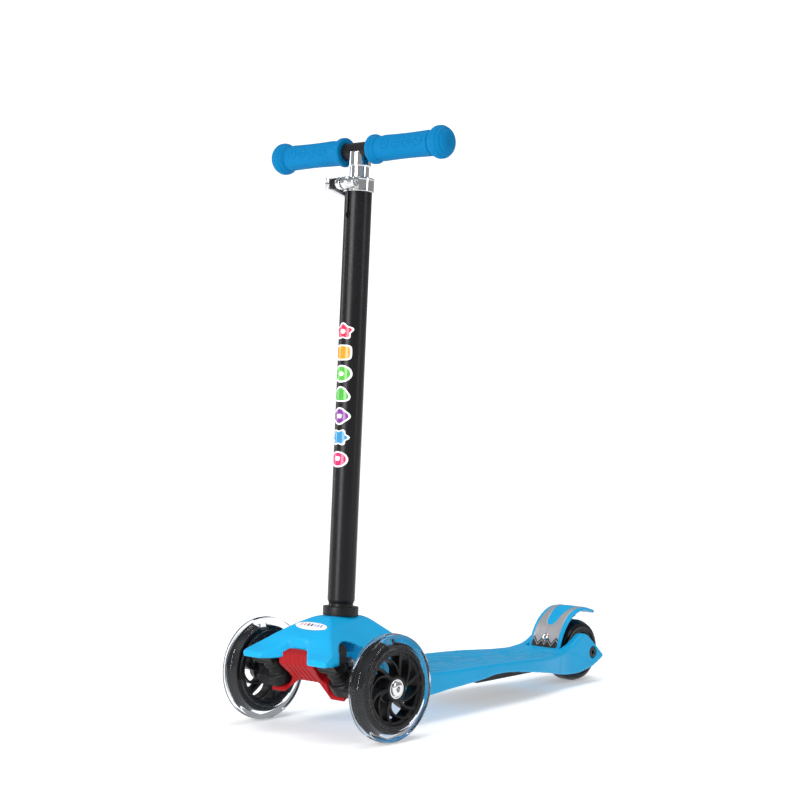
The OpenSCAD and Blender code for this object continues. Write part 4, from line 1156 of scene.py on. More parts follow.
@dataclass
class Brake:
    """Spring fender that brakes the rear wheel: blue blade, ribbed tongue, silver sheet and rivet.

    The blade's line is in millimetres from the rear axle, as (rearwards, up).
    """

    half_width: float = 25.0
    thick: float = 4.0
    line: Sequence[Point2] = (
        (-58, 3), (-56.5, 10), (-53.5, 18.5), (-50, 26.5), (-45, 34.5), (-38.5, 42), (-30.5, 48.5),
        (-21, 53.8), (-11, 56.8), (0, 57.4), (11, 55.3), (21, 52.2), (28.5, 50.4))

    def build(self) -> list[Piece]:
        """Builds the blade with its hinge, the silver sheet and the rivet.

        Returns:
            The pieces.
        """
        made = ((self.blade(), "blue_plastic", ["brake_fender"]), (self.hinge(), "blue_plastic", []),
                (self.sheet(), "silver_sheet", ["brake_inlay"]), (self.rivet(), "chrome", ["brake_rivet"]))
        return [given(piece, "brake", slot, *nodes) for piece, slot, nodes in made]

    def line_frame(self, rows: int) -> tuple[Array, Array, Array]:
        """Gives points of the blade's line, the outward normal at each, and the length run so far.

        Args:
            rows: Number of points.

        Returns:
            Points, normals and lengths.
        """
        p = resampled(self.line, rows)
        along = np.gradient(p, axis=0)
        along /= np.linalg.norm(along, axis=1)[:, None]
        normal = np.stack([-along[:, 1], along[:, 0]], axis=1)
        length = np.concatenate([[0], np.cumsum(np.linalg.norm(np.diff(p, axis=0), axis=1))])
        return p, normal, length

    def blade_width(self, length: Array, whole: float) -> Array:
        """Gives the blade's half width: full, drawn in to a round end over its last 14 mm and by its foot."""
        end = np.clip((whole - length) / 14.0, 0, 1)
        foot = np.clip(length / 5.0, 0, 1)
        return (self.half_width - 14.0 * (1 - np.sqrt(1 - (1 - end) ** 2))) - 1.5 * (1 - foot)

    def blade(self) -> Piece:
        """Makes the blade: a flat section with round edges carried along the line.

        The outer face falls by a millimetre towards both edges. Ribs across the
        tongue are a raised cosine of the length run, kept inside the tongue's U.

        Returns:
            The piece.
        """
        rows, flat = 300, 90
        p, normal, length = self.line_frame(rows)
        whole = length[-1]
        t = np.linspace(-1, 1, flat)
        r = 1.2
        bend = np.linspace(0, math.pi / 2, 6)
        corner_x, corner_h = np.sin(bend), np.cos(bend)
        half = self.blade_width(length, whole)[:, None]
        inner = half - r
        top_x = inner * t[None, :]
        edge_x, edge_h = inner + r * corner_x[None, 1:], -r + r * corner_h[None, 1:]
        low_x = inner + r * corner_x[None, ::-1][:, :-1]
        low_h = -self.thick + r - r * corner_h[None, ::-1][:, :-1]
        ones = np.ones((rows, 1))
        tongue = self.tongue(top_x, length[:, None])
        rib = 0.45 * (0.5 + 0.5 * np.cos(2 * math.pi * length[:, None] / 3.4)) * tongue
        crown = -0.9 * (top_x / self.half_width) ** 4 + rib
        sag = -0.9 * (inner / self.half_width) ** 4
        section_x = np.hstack([top_x, edge_x, low_x, inner * t[None, ::-1], -low_x[:, ::-1],
                               -edge_x[:, ::-1]])
        section_h = np.hstack([crown, (edge_h + sag) * ones, low_h * ones, -self.thick * np.ones_like(top_x),
                               low_h[:, ::-1] * ones, (edge_h[:, ::-1] + sag) * ones])
        thin = np.clip((whole - length) / 2.2, 0.18, 1)[:, None]
        section_h = (section_h + self.thick / 2) * thin - self.thick / 2
        grid = np.stack([section_x, p[:, :1] + section_h * normal[:, :1],
                         p[:, 1:] + section_h * normal[:, 1:]], -1)
        return self.strip("brake_fender_blade", grid)

    @staticmethod
    def strip(name: str, grid: Array) -> Piece:
        """Closes the ends of a swept grid and puts it in the scene at the rear axle.

        Args:
            name: Name of the piece.
            grid: Rows of points of its section, from the rear axle.

        Returns:
            The piece.
        """
        grid = capped(grid)
        points = grid.reshape(-1, 3) + np.array([0, PLACE.rear_y, PLACE.rear_z])
        piece = into_scene(name, points, grid_faces(len(grid), grid.shape[1], close_columns=True))
        merge_close(piece)
        return piece

    @staticmethod
    def tongue(x: Array, length: Array) -> Array:
        """Marks the ribbed tongue: inside a U that ends 40 mm along the line and widens rearwards."""
        width = 6.0 + 4.5 * smooth_step(length, 42, 80)
        begun = smooth_step(width - np.abs(x), 0, 0.8) * smooth_step(length, 41, 44)
        return begun * (1 - smooth_step(length, 104, 108))

    def hinge(self) -> Piece:
        """Makes the hinge barrel and the root that joins it to the blade's foot.

        Returns:
            The piece.
        """
        y0, z0 = PLACE.brake[1], PLACE.brake[2]
        root = Outline([(-2, 5.6), (8, 14), (12, 13), (11, 4), (4, -4), (-2, -2)], 1, 0.15, 0.3)

        def shape(x: Array, y: Array, z: Array) -> Array:
            """Joins barrel and root, then bores the pin's hole and the spring's pocket."""
            r = np.hypot(y - y0, z - z0)
            arm = both(root(y - y0, z - z0), np.abs(x) - 23.4, 0.8)
            solid = either(both(r - 6, np.abs(x) - 24.9, 0.7), arm, 1.5)
            solid = without(solid, r - 2.6)
            solid = without(solid, both(r - 6.8, np.abs(x) - 8), 0.3)
            return without(solid, block(x, y, z, (-8, y0 - 9, z0 - 9), (8, y0 + 7.5, z0 + 9)), 0.3)

        return skin("brake_hinge", shape, (-25, y0 - 7, z0 - 7), (25, y0 + 14, z0 + 15), 0.7)

    def sheet(self) -> Piece:
        """Makes the silver sheet: a foot that parts into two arms, carried along the blade's line.

        Each half is a strip between an inner and an outer edge. The inner edge is the
        middle line up to the U's foot and goes round the tongue from there.

        Returns:
            The piece.
        """
        rows, flat = 260, 26
        p, normal, length = self.line_frame(420)
        keep = np.linspace(11, 392, rows)
        at = np.stack([np.interp(keep, np.arange(420), p[:, k]) for k in range(2)], 1)
        out = np.stack([np.interp(keep, np.arange(420), normal[:, k]) for k in range(2)], 1)
        run = np.interp(keep, np.arange(420), length)
        last = run[-1]
        rise = np.clip((run - 37) / 13, 0, 1)
        inner = np.where(run < 37, 0.0, 8.2 * np.sqrt(1 - (1 - rise) ** 2)) + 5.4 * smooth_step(run, 46, 86)
        outer = 20.4 - 1.5 * smooth_step(run, 30, 60) + 1.0 * smooth_step(run, 84, 120)
        outer = outer - 1.8 * (1 - smooth_step(run, run[0], run[0] + 5))
        taper = smooth_step(run, last - 30, last)
        middle = (inner + outer) / 2
        inner = inner + (middle + 3.0 - inner) * taper ** 1.5
        outer = outer + (middle + 3.4 - outer) * taper ** 1.5
        t = np.linspace(0, 1, flat)
        r, edge = 0.45, (rows, 4)
        pieces = []
        for sign in (1, -1):
            wide = (outer - inner)[:, None]
            seam = np.where(inner[:, None] > 0.01, 1.0, 0.0)
            x = np.hstack([inner[:, None] + wide * t, np.broadcast_to(outer[:, None], edge),
                           outer[:, None] - wide * (1 - t[::-1]), np.broadcast_to(inner[:, None], edge)])
            soft = r * (1 - np.sqrt(np.clip(1 - np.clip(1 - wide * (1 - t) / 0.9, 0, 1) ** 2, 0, 1)))
            soft_in = seam * r * (1 - np.sqrt(np.clip(1 - np.clip(1 - wide * t / 0.9, 0, 1) ** 2, 0, 1)))
            crown = -0.9 * ((inner[:, None] + wide * t) / self.half_width) ** 4
            top = 0.55 + crown - soft - soft_in
            down = np.full((rows, 1), -1.0)
            h = np.hstack([top, top[:, -1:] + (down - top[:, -1:]) * np.linspace(0.2, 1, 4)[None, :],
                           np.broadcast_to(down, (rows, flat)),
                           down + (top[:, :1] - down) * np.linspace(0.2, 0.9, 4)[None, :]])
            grid = np.stack([sign * x, at[:, :1] + h * out[:, :1], at[:, 1:] + h * out[:, 1:]], -1)
            pieces.append(self.strip("brake_sheet_strip", grid))
        return joined("brake_sheet", pieces)

    def rivet(self) -> Piece:
        """Turns the rivet's domed head on the foot of the sheet.

        Returns:
            The piece.
        """
        tilt = math.radians(67)
        pose = upright((0, PLACE.rear_y, PLACE.rear_z), (0, -math.sin(tilt), math.cos(tilt)))
        profile = np.vstack([[(0, 50.0), (2.0, 50.0), (2.0, 56.6), (4.6, 56.6), (4.8, 57.4)],
                             np.stack([4.6 * np.cos(np.linspace(0.1, math.pi / 2, 14)),
                                       57.5 + 1.5 * np.sin(np.linspace(0.1, math.pi / 2, 14))], 1)])
        profile[-1, 0] = 0
        return lathe("brake_rivet_head", profile, 64, (0, 0, 0), axis="z", pose=pose)


# --- post and handlebar


@dataclass
class Post:
    """Black post: its collar, its printed shapes, the quick clamp, and the handlebar on the sliding tube."""

    radius: float = 15.7
    height: float = 484.0
    collar: float = 20.4
    bar_at: float = 516.3
    bar_end: float = 138.0
    ball: float = 18.8
    handle: float = 14.5

    def build(self) -> list[Piece]:
        """Builds every piece of the post and the handlebar that isn't carried over from the parts.

        Returns:
            The pieces.
        """
        made = [(self.stem_collar(), "root", ("stem_collar",), "black_plastic"),
                (self.prints(), "root", ("tube_stickers",), "sticker_print"),
                (self.clamp(), "root", ("clamp_collar",), "chrome"),
                (self.clamp_bolt(), "root", ("clamp_bolt",), "chrome"),
                (self.clamp_nut(), "root", ("clamp_nut",), "black_plastic"),
                (self.lever(), "clamp_lever", ("clamp_lever",), "cast_lever"),
                (self.saddle(), "handlebar", ("bar_saddle",), "chrome")]
        made += [(self.grip(side), "handlebar", (f"grip_{side.word}",), "blue_rubber") for side in Side]
        for piece, body, nodes, slot in made:
            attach(piece, body)
            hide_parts(*nodes)
            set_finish(piece, slot)
        return [piece for piece, *_ in made]

    def stem_collar(self) -> Piece:
        """Turns the glossy collar at the post's foot: a ring with a crisp top edge and a narrow neck over it.

        Returns:
            The piece.
        """
        c = self.collar
        loop = rounded_loop([(13.4, -16.4, 0.2), (c, -16.4, 0.3), (c, -6.5, 0.7), (14.2, -6.4, 0.5),
                             (14.1, -3.1, 0.2), (13.4, -3.1, 0.1)], 7)
        return lathe("stem_collar_ring", loop[::-1], 128, (0, 0, 0), axis="z", pose=POST)

    def prints(self) -> Piece:
        """Makes seven printed shapes down the front of the post, each a coloured field in a white edge.

        A shape's outline is a radius for each angle. Its points lie on rings that are
        shares of that radius, laid round the post: the place across becomes an angle.

        Returns:
            The piece.
        """
        colours = ((0.66, 0.02, 0.08), (0.85, 0.30, 0.015), (0.09, 0.46, 0.05), (0.08, 0.42, 0.06),
                   (0.20, 0.035, 0.27), (0.035, 0.26, 0.52), (0.60, 0.02, 0.14))
        rings = np.concatenate([np.linspace(0, 0.80, 12), [0.815, 0.9, 0.985, 1.0, 1.0, 0.0]])
        lift = np.concatenate([np.full(12, 0.25), [0.18, 0.18, 0.17, 0.12, 0.02, 0.02]])
        angle = np.linspace(0, 2 * math.pi, 120, endpoint=False)
        pieces = []
        for index, tint in enumerate(colours):
            outline = self.print_outline(index, angle)
            across = rings[:, None] * outline * np.cos(angle) * 1.42
            up = rings[:, None] * outline * np.sin(angle)
            turn = across / self.radius
            r = self.radius + lift[:, None]
            z = 307.0 - 24.2 * index + up
            local = np.stack([r * np.sin(turn), -r * np.cos(turn), np.broadcast_to(z, turn.shape)], -1)
            colour = np.where((rings < 0.81)[:, None, None], np.array(tint + (1.0,)), np.array(PRINT_WHITE))
            colour = np.broadcast_to(colour, turn.shape + (4,)).reshape(-1, 4)
            hole = self.print_hole(index, rings[:, None] * np.cos(angle) * outline, up)
            colour = np.where(hole.reshape(-1, 1) > 0.5, np.array((0.92, 0.92, 0.92, 1.0)), colour)
            piece = into_scene("post_print", POST.outwards(local.reshape(-1, 3)),
                               grid_faces(len(rings), 120, close_columns=True, flipped=True), colour)
            merge_close(piece)
            pieces.append(piece)
        return joined("post_prints", pieces)

    @staticmethod
    def print_outline(index: int, angle: Array) -> Array:
        """Gives a shape's radius at each angle: a round, a soft square, a soft star, a drop and so on.

        Args:
            index: Number of the shape from the top.
            angle: Angles round its middle.

        Returns:
            The radii in millimetres.
        """
        square = 9.0 / (np.abs(np.cos(angle)) ** 4 + np.abs(np.sin(angle)) ** 4) ** 0.25
        shapes = (8.9 + 1.3 * np.cos(5 * angle - math.pi / 2), square, 10.0 + 0 * angle,
                  8.8 + 1.0 * np.cos(3 * angle + math.pi / 2), 9.3 + 0.8 * np.cos(4 * angle),
                  8.8 + 1.2 * np.cos(6 * angle), 10.0 - 1.7 * np.abs(np.sin(angle / 2 + math.pi / 4)) ** 3)
        return shapes[index]

    @staticmethod
    def print_hole(index: int, across: Array, up: Array) -> Array:
        """Marks the white middle of every second shape: a round spot with a radius of 2.6 mm."""
        return np.where((index % 2 == 0) & (np.hypot(across, up) < 2.6), 1.0, 0.0)

    def clamp(self) -> Piece:
        """Makes the clamp: a split ring with a rolled edge and two rounded ears.

        Returns:
            The piece.
        """
        at, r = self.height - 8, self.radius

        def shape(x: Array, y: Array, z: Array) -> Array:
            """Joins ring and ears, then cuts the bore, the slot and the bolt's hole."""
            w = z - at
            lip = 0.25 * smooth_step(np.abs(w), 5.4, 6.2)
            ring = both(np.hypot(x, y) - r - 1.8 - lip, np.abs(w) - 8, 0.6)
            ear_round = np.hypot(y + r + 9, w) - 7
            ears = both(np.minimum(ear_round, both(np.abs(w) - 7, between(y, -r - 9, 0))), np.abs(x) - 8, 1.0)
            solid = either(ring, ears, 1.2)
            solid = without(solid, np.hypot(x, y) - r - 0.05)
            solid = without(solid, both(np.abs(x) - 1.2, y))
            return without(solid, np.hypot(y + r + 9, w) - 3.0)

        return skin("clamp_collar_ring", shape, (-18, -32, at - 8), (18, 18, at + 8), 0.45, POST)

    def clamp_bolt(self) -> Piece:
        """Makes the clamp's bolt: round head with a hexagon socket, shank, and eye for the lever's pin.

        Returns:
            The piece.
        """
        at, ear = self.height - 8, -self.radius - 9

        def shape(x: Array, y: Array, z: Array) -> Array:
            """Joins head, collar and shank, then cuts the socket and the eye."""
            r = np.hypot(y - ear, z - at)
            head = both(r - 6.0, between(x, 9.5, 19.0), 0.9)
            knurl = 0.22 * np.cos(24 * np.arctan2(z - at, y - ear)) * (x > 11) * (x < 17)
            head = head + np.where(r > 4, knurl * 0.5, 0) + 0.1
            washer = both(r - 6.4, between(x, 8.0, 9.6), 0.3)
            solid = either(either(head, washer, 0.2), both(r - 3, between(x, -27.2, 10)), 0.2)
            solid = without(solid, both(hexagon(y - ear, z - at, 2.6), 15.4 - x), 0.15)
            return without(solid, both(np.hypot(x + 24, y - ear) - 2.06, np.abs(z - at) - 9))

        return skin("clamp_bolt_head", shape,
                    (-27.5, ear - 6.5, at - 6.5), (19.2, ear + 6.5, at + 6.5), 0.36, POST)

    def clamp_nut(self) -> Piece:
        """Turns the ribbed black nut and cam seat between the ear and the lever.

        Returns:
            The piece.
        """
        at, ear = self.height - 8, -self.radius - 9
        loop = rounded_loop([(3.1, -8.05, 0.1), (6.2, -8.05, 0.4), (6.2, -10.6, 0.3), (5.4, -11.0, 0.2),
                             (5.4, -11.8, 0.2), (6.4, -12.2, 0.3), (6.4, -14.0, 0.3), (5.4, -14.4, 0.2),
                             (5.4, -15.2, 0.2), (6.2, -15.6, 0.3), (6.2, -17.7, 0.6), (3.1, -17.7, 0.2)], 4)

        def notched(along: Array, angle: Array) -> Array:
            """Lowers the ribs by a third of a millimetre in sixteen places round the nut."""
            return np.where(along < -8.3, -0.3 * smooth_step(np.cos(16 * angle), 0.5, 0.9), 0.0)

        return lathe("clamp_nut_ribbed", loop, 128, (0, ear, at), relief=notched, pose=POST)

    def lever(self) -> Piece:
        """Makes the lever: two cam discs round the pin and a curved blade with a groove down its outer face.

        Returns:
            The piece.
        """
        at, ear = self.height - 8, -self.radius - 9
        blade = Outline([(-3.6, 0), (3.2, 0), (4.4, 6), (5.4, 14), (6, 25), (8, 36), (13, 44),
                         (11, 47), (4, 41),
                         (0.8, 32), (-0.6, 20), (-2.4, 8)], 2, 0.2, 0.25)
        tilt = math.radians(-16)

        def shape(x: Array, y: Array, z: Array) -> Array:
            """Joins discs and blade, then cuts the cam's slot, the pin's hole and the groove."""
            a, b, w = x + 24, y - ear, z - at
            discs = both(np.hypot(a, b) - 4.6, between(np.abs(w), 3.6, 6.4), 0.5)
            c, d = b * math.cos(tilt) + w * math.sin(tilt), -b * math.sin(tilt) + w * math.cos(tilt)
            width = 5.0 - 0.9 * smooth_step(c, 30, 46)
            solid = both(blade(a, c), np.abs(d) - width, 1.2)
            groove = both(np.abs(d) - 2.6, -blade(a, c) - 1.0)
            solid = without(solid, both(groove, both(6.0 - c, c - 36), 0.3), 0.4)
            solid = either(solid, discs, 0.6)
            solid = without(solid, rod(a, b, w, 4.7, -3.5, 3.5))
            return without(solid, np.hypot(a, b) - 2.0)

        return skin("clamp_lever_blade", shape, (-29, ear - 5, at - 20), (-10, ear + 47, at + 8), 0.45, POST)

    def saddle(self) -> Piece:
        """Makes the chrome cradle under the crossbar, with a rolled lower edge.

        Returns:
            The piece.
        """
        bar = self.bar_at

        def shape(x: Array, y: Array, z: Array) -> Array:
            """Takes a sleeve that widens upwards, and cuts the tube's bore and the crossbar's seat."""
            r = np.hypot(x, y)
            sleeve = both(r - 13.0, between(z, bar - 19, bar - 2), 0.8)
            bead = both(np.hypot(r - 12.2, z - bar + 17.6) - 0.9, r - 13.1)
            solid = either(sleeve, bead, 0.5)
            solid = without(solid, r - 11.12)
            return without(solid, np.hypot(y, z - bar) - 10.02, 0.2)

        return skin("bar_saddle_cup", shape, (-13.2, -13.2, bar - 19), (13.2, 13.2, bar - 2), 0.45, POST)

    def grip(self, side: Side) -> Piece:
        """Turns one grip and raises its pattern: radius from the profile plus the pattern's height.

        The profile is an inner flange, a waisted handle and a grooved ball end. The
        pattern has ringed ovals along the front, a long panel on top, and fine
        ribs underneath.

        Args:
            side: Side of the scooter.

        Returns:
            The piece.
        """
        ball_x = self.bar_end - 0.75 * self.ball
        handle = np.linspace(36, ball_x - 11.2, 170)
        share = (handle - 36) / (ball_x - 11.2 - 36)
        waist = np.stack([self.handle - 0.7 * np.sin(math.pi * share), handle], 1)
        turn = np.linspace(math.radians(143), 0.0, 120)
        groove = sum(np.exp(-((np.degrees(turn) - at) / 3.4) ** 2) for at in (112, 90, 68, 47))
        dimple = np.where(np.degrees(turn) < 19, 1.2 * np.cos(np.radians(np.degrees(turn) / 19 * 90)), 0.0)
        ball = np.stack([(self.ball - 0.75 * groove) * np.sin(turn),
                         ball_x + (0.75 * self.ball - 0.6 * groove * np.abs(np.cos(turn))) * np.cos(turn)
                         - dimple], 1)
        ball[-1, 0] = 0.0
        flange = rounded_loop([(10.1, 21.0, 0.3), (15.5, 21.0, 0.8), (17.0, 22.4, 1.2), (17.0, 26.4, 1.2),
                               (15.3, 28.4, 1.5), (self.handle, 35.5, 6.0)], 6)[:34]
        body = np.vstack([[(0.0, 21.6), (10.1, 21.6)], flange, waist, ball])
        body = body[np.argsort(np.where(np.arange(len(body)) < 36, 0, 1), kind="stable")]
        sign = side.value

        def pattern(along: Array, angle: Array) -> Array:
            """Gives the raised height at a place along the handle and an angle round it."""
            inner = (along > 34) & (along < ball_x - 10)
            front = (angle + math.pi) % (2 * math.pi) - math.pi
            arc = front * self.handle
            height = np.zeros(np.broadcast(along, angle).shape)
            for at in (50.0, 66.5, 83.0, 99.5):
                oval = np.sqrt(((along - at) / 7.0) ** 2 + ((arc - 1.0) / 5.2) ** 2)
                height = np.maximum(height, 0.75 * (1 - smooth_step(np.abs(oval - 0.88), 0.06, 0.20)))
                height = np.maximum(height, 0.45 * (1 - smooth_step(oval, 0.30, 0.48)))
            top = ((angle - math.pi / 2 + math.pi) % (2 * math.pi) - math.pi) * self.handle
            panel = np.maximum(np.abs(along - 74) - 33, np.abs(top) - 5.0)
            height = np.maximum(height, 0.6 * (1 - smooth_step(panel, -0.3, 0.9)))
            recess = np.maximum(np.abs(along - 74) - 30.5, np.abs(top) - 2.6)
            height = height - 0.35 * (1 - smooth_step(recess, -0.3, 0.7))
            under = ((angle + math.pi / 2 + math.pi) % (2 * math.pi) - math.pi) * self.handle
            rib = 0.35 * (0.5 + 0.5 * np.cos(2 * math.pi * along / 3.2))
            rib = rib * (1 - smooth_step(np.abs(under), 10.5, 13.0))
            return np.where(inner, np.maximum(height, rib), 0.0)

        origin = (0.0, 0.0, self.bar_at)
        pose = POST if sign > 0 else Pose(POST.origin, -POST.x_axis, POST.y_axis, POST.z_axis)
        piece = lathe(f"grip_{side.word}_rubber", body, 220, origin, relief=pattern, pose=pose)
        return piece


# --- finishes


@dataclass(frozen=True)
class Socket:
    """Input or output of a shader node group: its name, whether it is a colour, and its first value."""

    name: str
    kind: str = "NodeSocketFloat"
    value: float | tuple[float, ...] | None = None


class Tree:
    """Small helper that adds nodes to a node tree and links them."""

    def __init__(self, tree: bpy.types.NodeTree) -> None:
        """Keeps the tree and where the next node is drawn."""
        self.tree = tree
        self.place = 0

    def add(self, kind: str, settings: dict[str, object] | None = None, **inputs: object) -> Node:
        """Adds a node, sets its settings and links or sets its inputs.

        Args:
            kind: Blender's name of the node type.
            settings: Properties of the node.
            inputs: Input name or number (as _0, _1) to a value or to another node's output.

        Returns:
            The new node.
        """
        node = self.tree.nodes.new(kind)
        node.location = (190 * (self.place % 9), -240 * (self.place // 9))
        self.place += 1
        for name, value in (settings or {}).items():
            setattr(node, name, value)
        for name, value in inputs.items():
            key = int(name[1:]) if name[0] == "_" else name.replace("_", " ")
            if isinstance(value, Plug):
                self.tree.links.new(value, node.inputs[key])
            else:
                node.inputs[key].default_value = value
        return node

    def math(self, operation: str, *values: object) -> Plug:
        """Adds a Math node and gives its output."""
        return self.add("ShaderNodeMath", {"operation": operation},
                        **{f"_{k}": value for k, value in enumerate(values)}).outputs[0]

    def noise(self, vector: Plug, scale: object, detail: float = 3.0,
              roughness: float = 0.55) -> Plug:
        """Adds a Noise Texture and gives its value."""
        return self.add("ShaderNodeTexNoise", Vector=vector, Scale=scale, Detail=detail,
                        Roughness=roughness).outputs["Fac"]

    def ramp(self, value: Plug, low: object, high: object) -> Plug:
        """Adds a Map Range node that turns low..high into 0..1 smoothly."""
        return self.add("ShaderNodeMapRange", {"interpolation_type": "SMOOTHSTEP"}, Value=value, From_Min=low,
                        From_Max=high).outputs[0]

    def mix(self, share: object, first: object, second: object) -> Plug:
        """Adds a colour Mix node and gives its colour."""
        return self.add("ShaderNodeMix", {"data_type": "RGBA"}, _0=share, _6=first, _7=second).outputs[2]


def shader_group(name: str, inputs: Sequence[Socket],
                 outputs: Sequence[Socket]) -> tuple[Tree, Node, Node]:
    """Starts a shader node group with named inputs and outputs.

    Args:
        name: Name of the group.
        inputs: Its inputs.
        outputs: Its outputs.

    Returns:
        The tree helper, the input node and the output node.
    """
    group = bpy.data.node_groups.new(name, "ShaderNodeTree")
    for direction, sockets in (("INPUT", inputs), ("OUTPUT", outputs)):
        for socket in sockets:
            made = group.interface.new_socket(name=socket.name, in_out=direction, socket_type=socket.kind)
            if socket.value is not None:
                made.default_value = socket.value
    tree = Tree(group)
    return tree, tree.add("NodeGroupInput"), tree.add("NodeGroupOutput")


class Effects:
    """Shared effects: moulded grain, worn edges, fine scratches and settled dust, each a node group."""

    def __init__(self) -> None:
        """Builds each group once."""
        self.grain = self.build_grain()
        self.wear = self.build_wear()
        self.scratches = self.build_scratches()
        self.dust = self.build_dust()

    @staticmethod
    def build_grain() -> bpy.types.NodeTree:
        """Builds the moulded grain: fine noise for height, broad noise for flow marks in the colour."""
        tree, start, end = shader_group("moulded grain", [
            Socket("Vector", "NodeSocketVector"), Socket("Fineness", value=2600.0),
            Socket("Depth", value=1.0),
            Socket("Flow", value=0.1)], [Socket("Height"), Socket("Shade"), Socket("Gloss")])
        fine = tree.noise(start.outputs["Vector"], start.outputs["Fineness"], 2.0)
        pits = tree.add("ShaderNodeTexVoronoi", Vector=start.outputs["Vector"],
                        Scale=tree.math("MULTIPLY", start.outputs["Fineness"], 0.45)).outputs["Distance"]
        height = tree.math("MULTIPLY", tree.math("MULTIPLY_ADD", pits, 0.35, fine), start.outputs["Depth"])
        flow = tree.noise(start.outputs["Vector"], 26.0, 4.0, 0.5)
        cloud = tree.noise(start.outputs["Vector"], 90.0, 3.0, 0.6)
        shade = tree.math("MULTIPLY_ADD", tree.math("SUBTRACT", flow, 0.5), start.outputs["Flow"], 0.5)
        tree.tree.links.new(height, end.inputs["Height"])
        tree.tree.links.new(shade, end.inputs["Shade"])
        tree.tree.links.new(cloud, end.inputs["Gloss"])
        return tree.tree

    @staticmethod
    def build_wear() -> bpy.types.NodeTree:
        """Builds edge wear: where the surface bends outwards, broken up by noise."""
        tree, start, end = shader_group("worn edges", [
            Socket("Vector", "NodeSocketVector"), Socket("Bend", value=0.56), Socket("Amount", value=0.5)],
            [Socket("Mask")])
        bend = tree.add("ShaderNodeNewGeometry").outputs["Pointiness"]
        limit = tree.math("ADD", start.outputs["Bend"], 0.06)
        edge = tree.ramp(bend, start.outputs["Bend"], limit)
        broken = tree.ramp(tree.noise(start.outputs["Vector"], 420.0, 5.0, 0.65), 0.42, 0.66)
        mask = tree.math("MULTIPLY", tree.math("MULTIPLY", edge, broken), start.outputs["Amount"])
        tree.tree.links.new(mask, end.inputs["Mask"])
        return tree.tree

    @staticmethod
    def build_scratches() -> bpy.types.NodeTree:
        """Builds fine scratches: two long thin noises, laid across each other and cut to their peaks."""
        tree, start, end = shader_group("fine scratches", [
            Socket("Vector", "NodeSocketVector"), Socket("Density", value=1.0)], [Socket("Mask")])
        masks = []
        for turn, stretch in ((0.5, (60.0, 1400.0, 900.0)), (-0.9, (1500.0, 70.0, 800.0))):
            laid = tree.add("ShaderNodeMapping", Vector=start.outputs["Vector"], Rotation=(0.0, 0.0, turn),
                            Scale=stretch).outputs[0]
            masks.append(tree.ramp(tree.noise(laid, 1.0, 2.0, 0.5), 0.70, 0.80))
        where = tree.ramp(tree.noise(start.outputs["Vector"], 14.0, 3.0), 0.45, 0.65)
        mask = tree.math("MULTIPLY", tree.math("MAXIMUM", *masks), where)
        mask = tree.math("MULTIPLY", mask, start.outputs["Density"])
        tree.tree.links.new(mask, end.inputs["Mask"])
        return tree.tree

    @staticmethod
    def build_dust() -> bpy.types.NodeTree:
        """Builds settled dust: more on faces that look up, in soft uneven patches."""
        tree, start, end = shader_group("settled dust", [
            Socket("Vector", "NodeSocketVector"), Socket("Amount", value=0.1)], [Socket("Mask")])
        facing = tree.add("ShaderNodeNewGeometry").outputs["Normal"]
        up = tree.add("ShaderNodeSeparateXYZ", Vector=facing).outputs["Z"]
        patches = tree.ramp(tree.noise(start.outputs["Vector"], 36.0, 5.0, 0.6), 0.4, 0.75)
        specks = tree.ramp(tree.noise(start.outputs["Vector"], 1500.0, 1.0), 0.6, 0.72)
        mask = tree.math("MULTIPLY", tree.ramp(up, 0.2, 1.0), tree.math("MULTIPLY_ADD", specks, 0.5, patches))
        mask = tree.math("MULTIPLY", mask, start.outputs["Amount"])
        tree.tree.links.new(mask, end.inputs["Mask"])
        return tree.tree


EFFECTS = Effects()


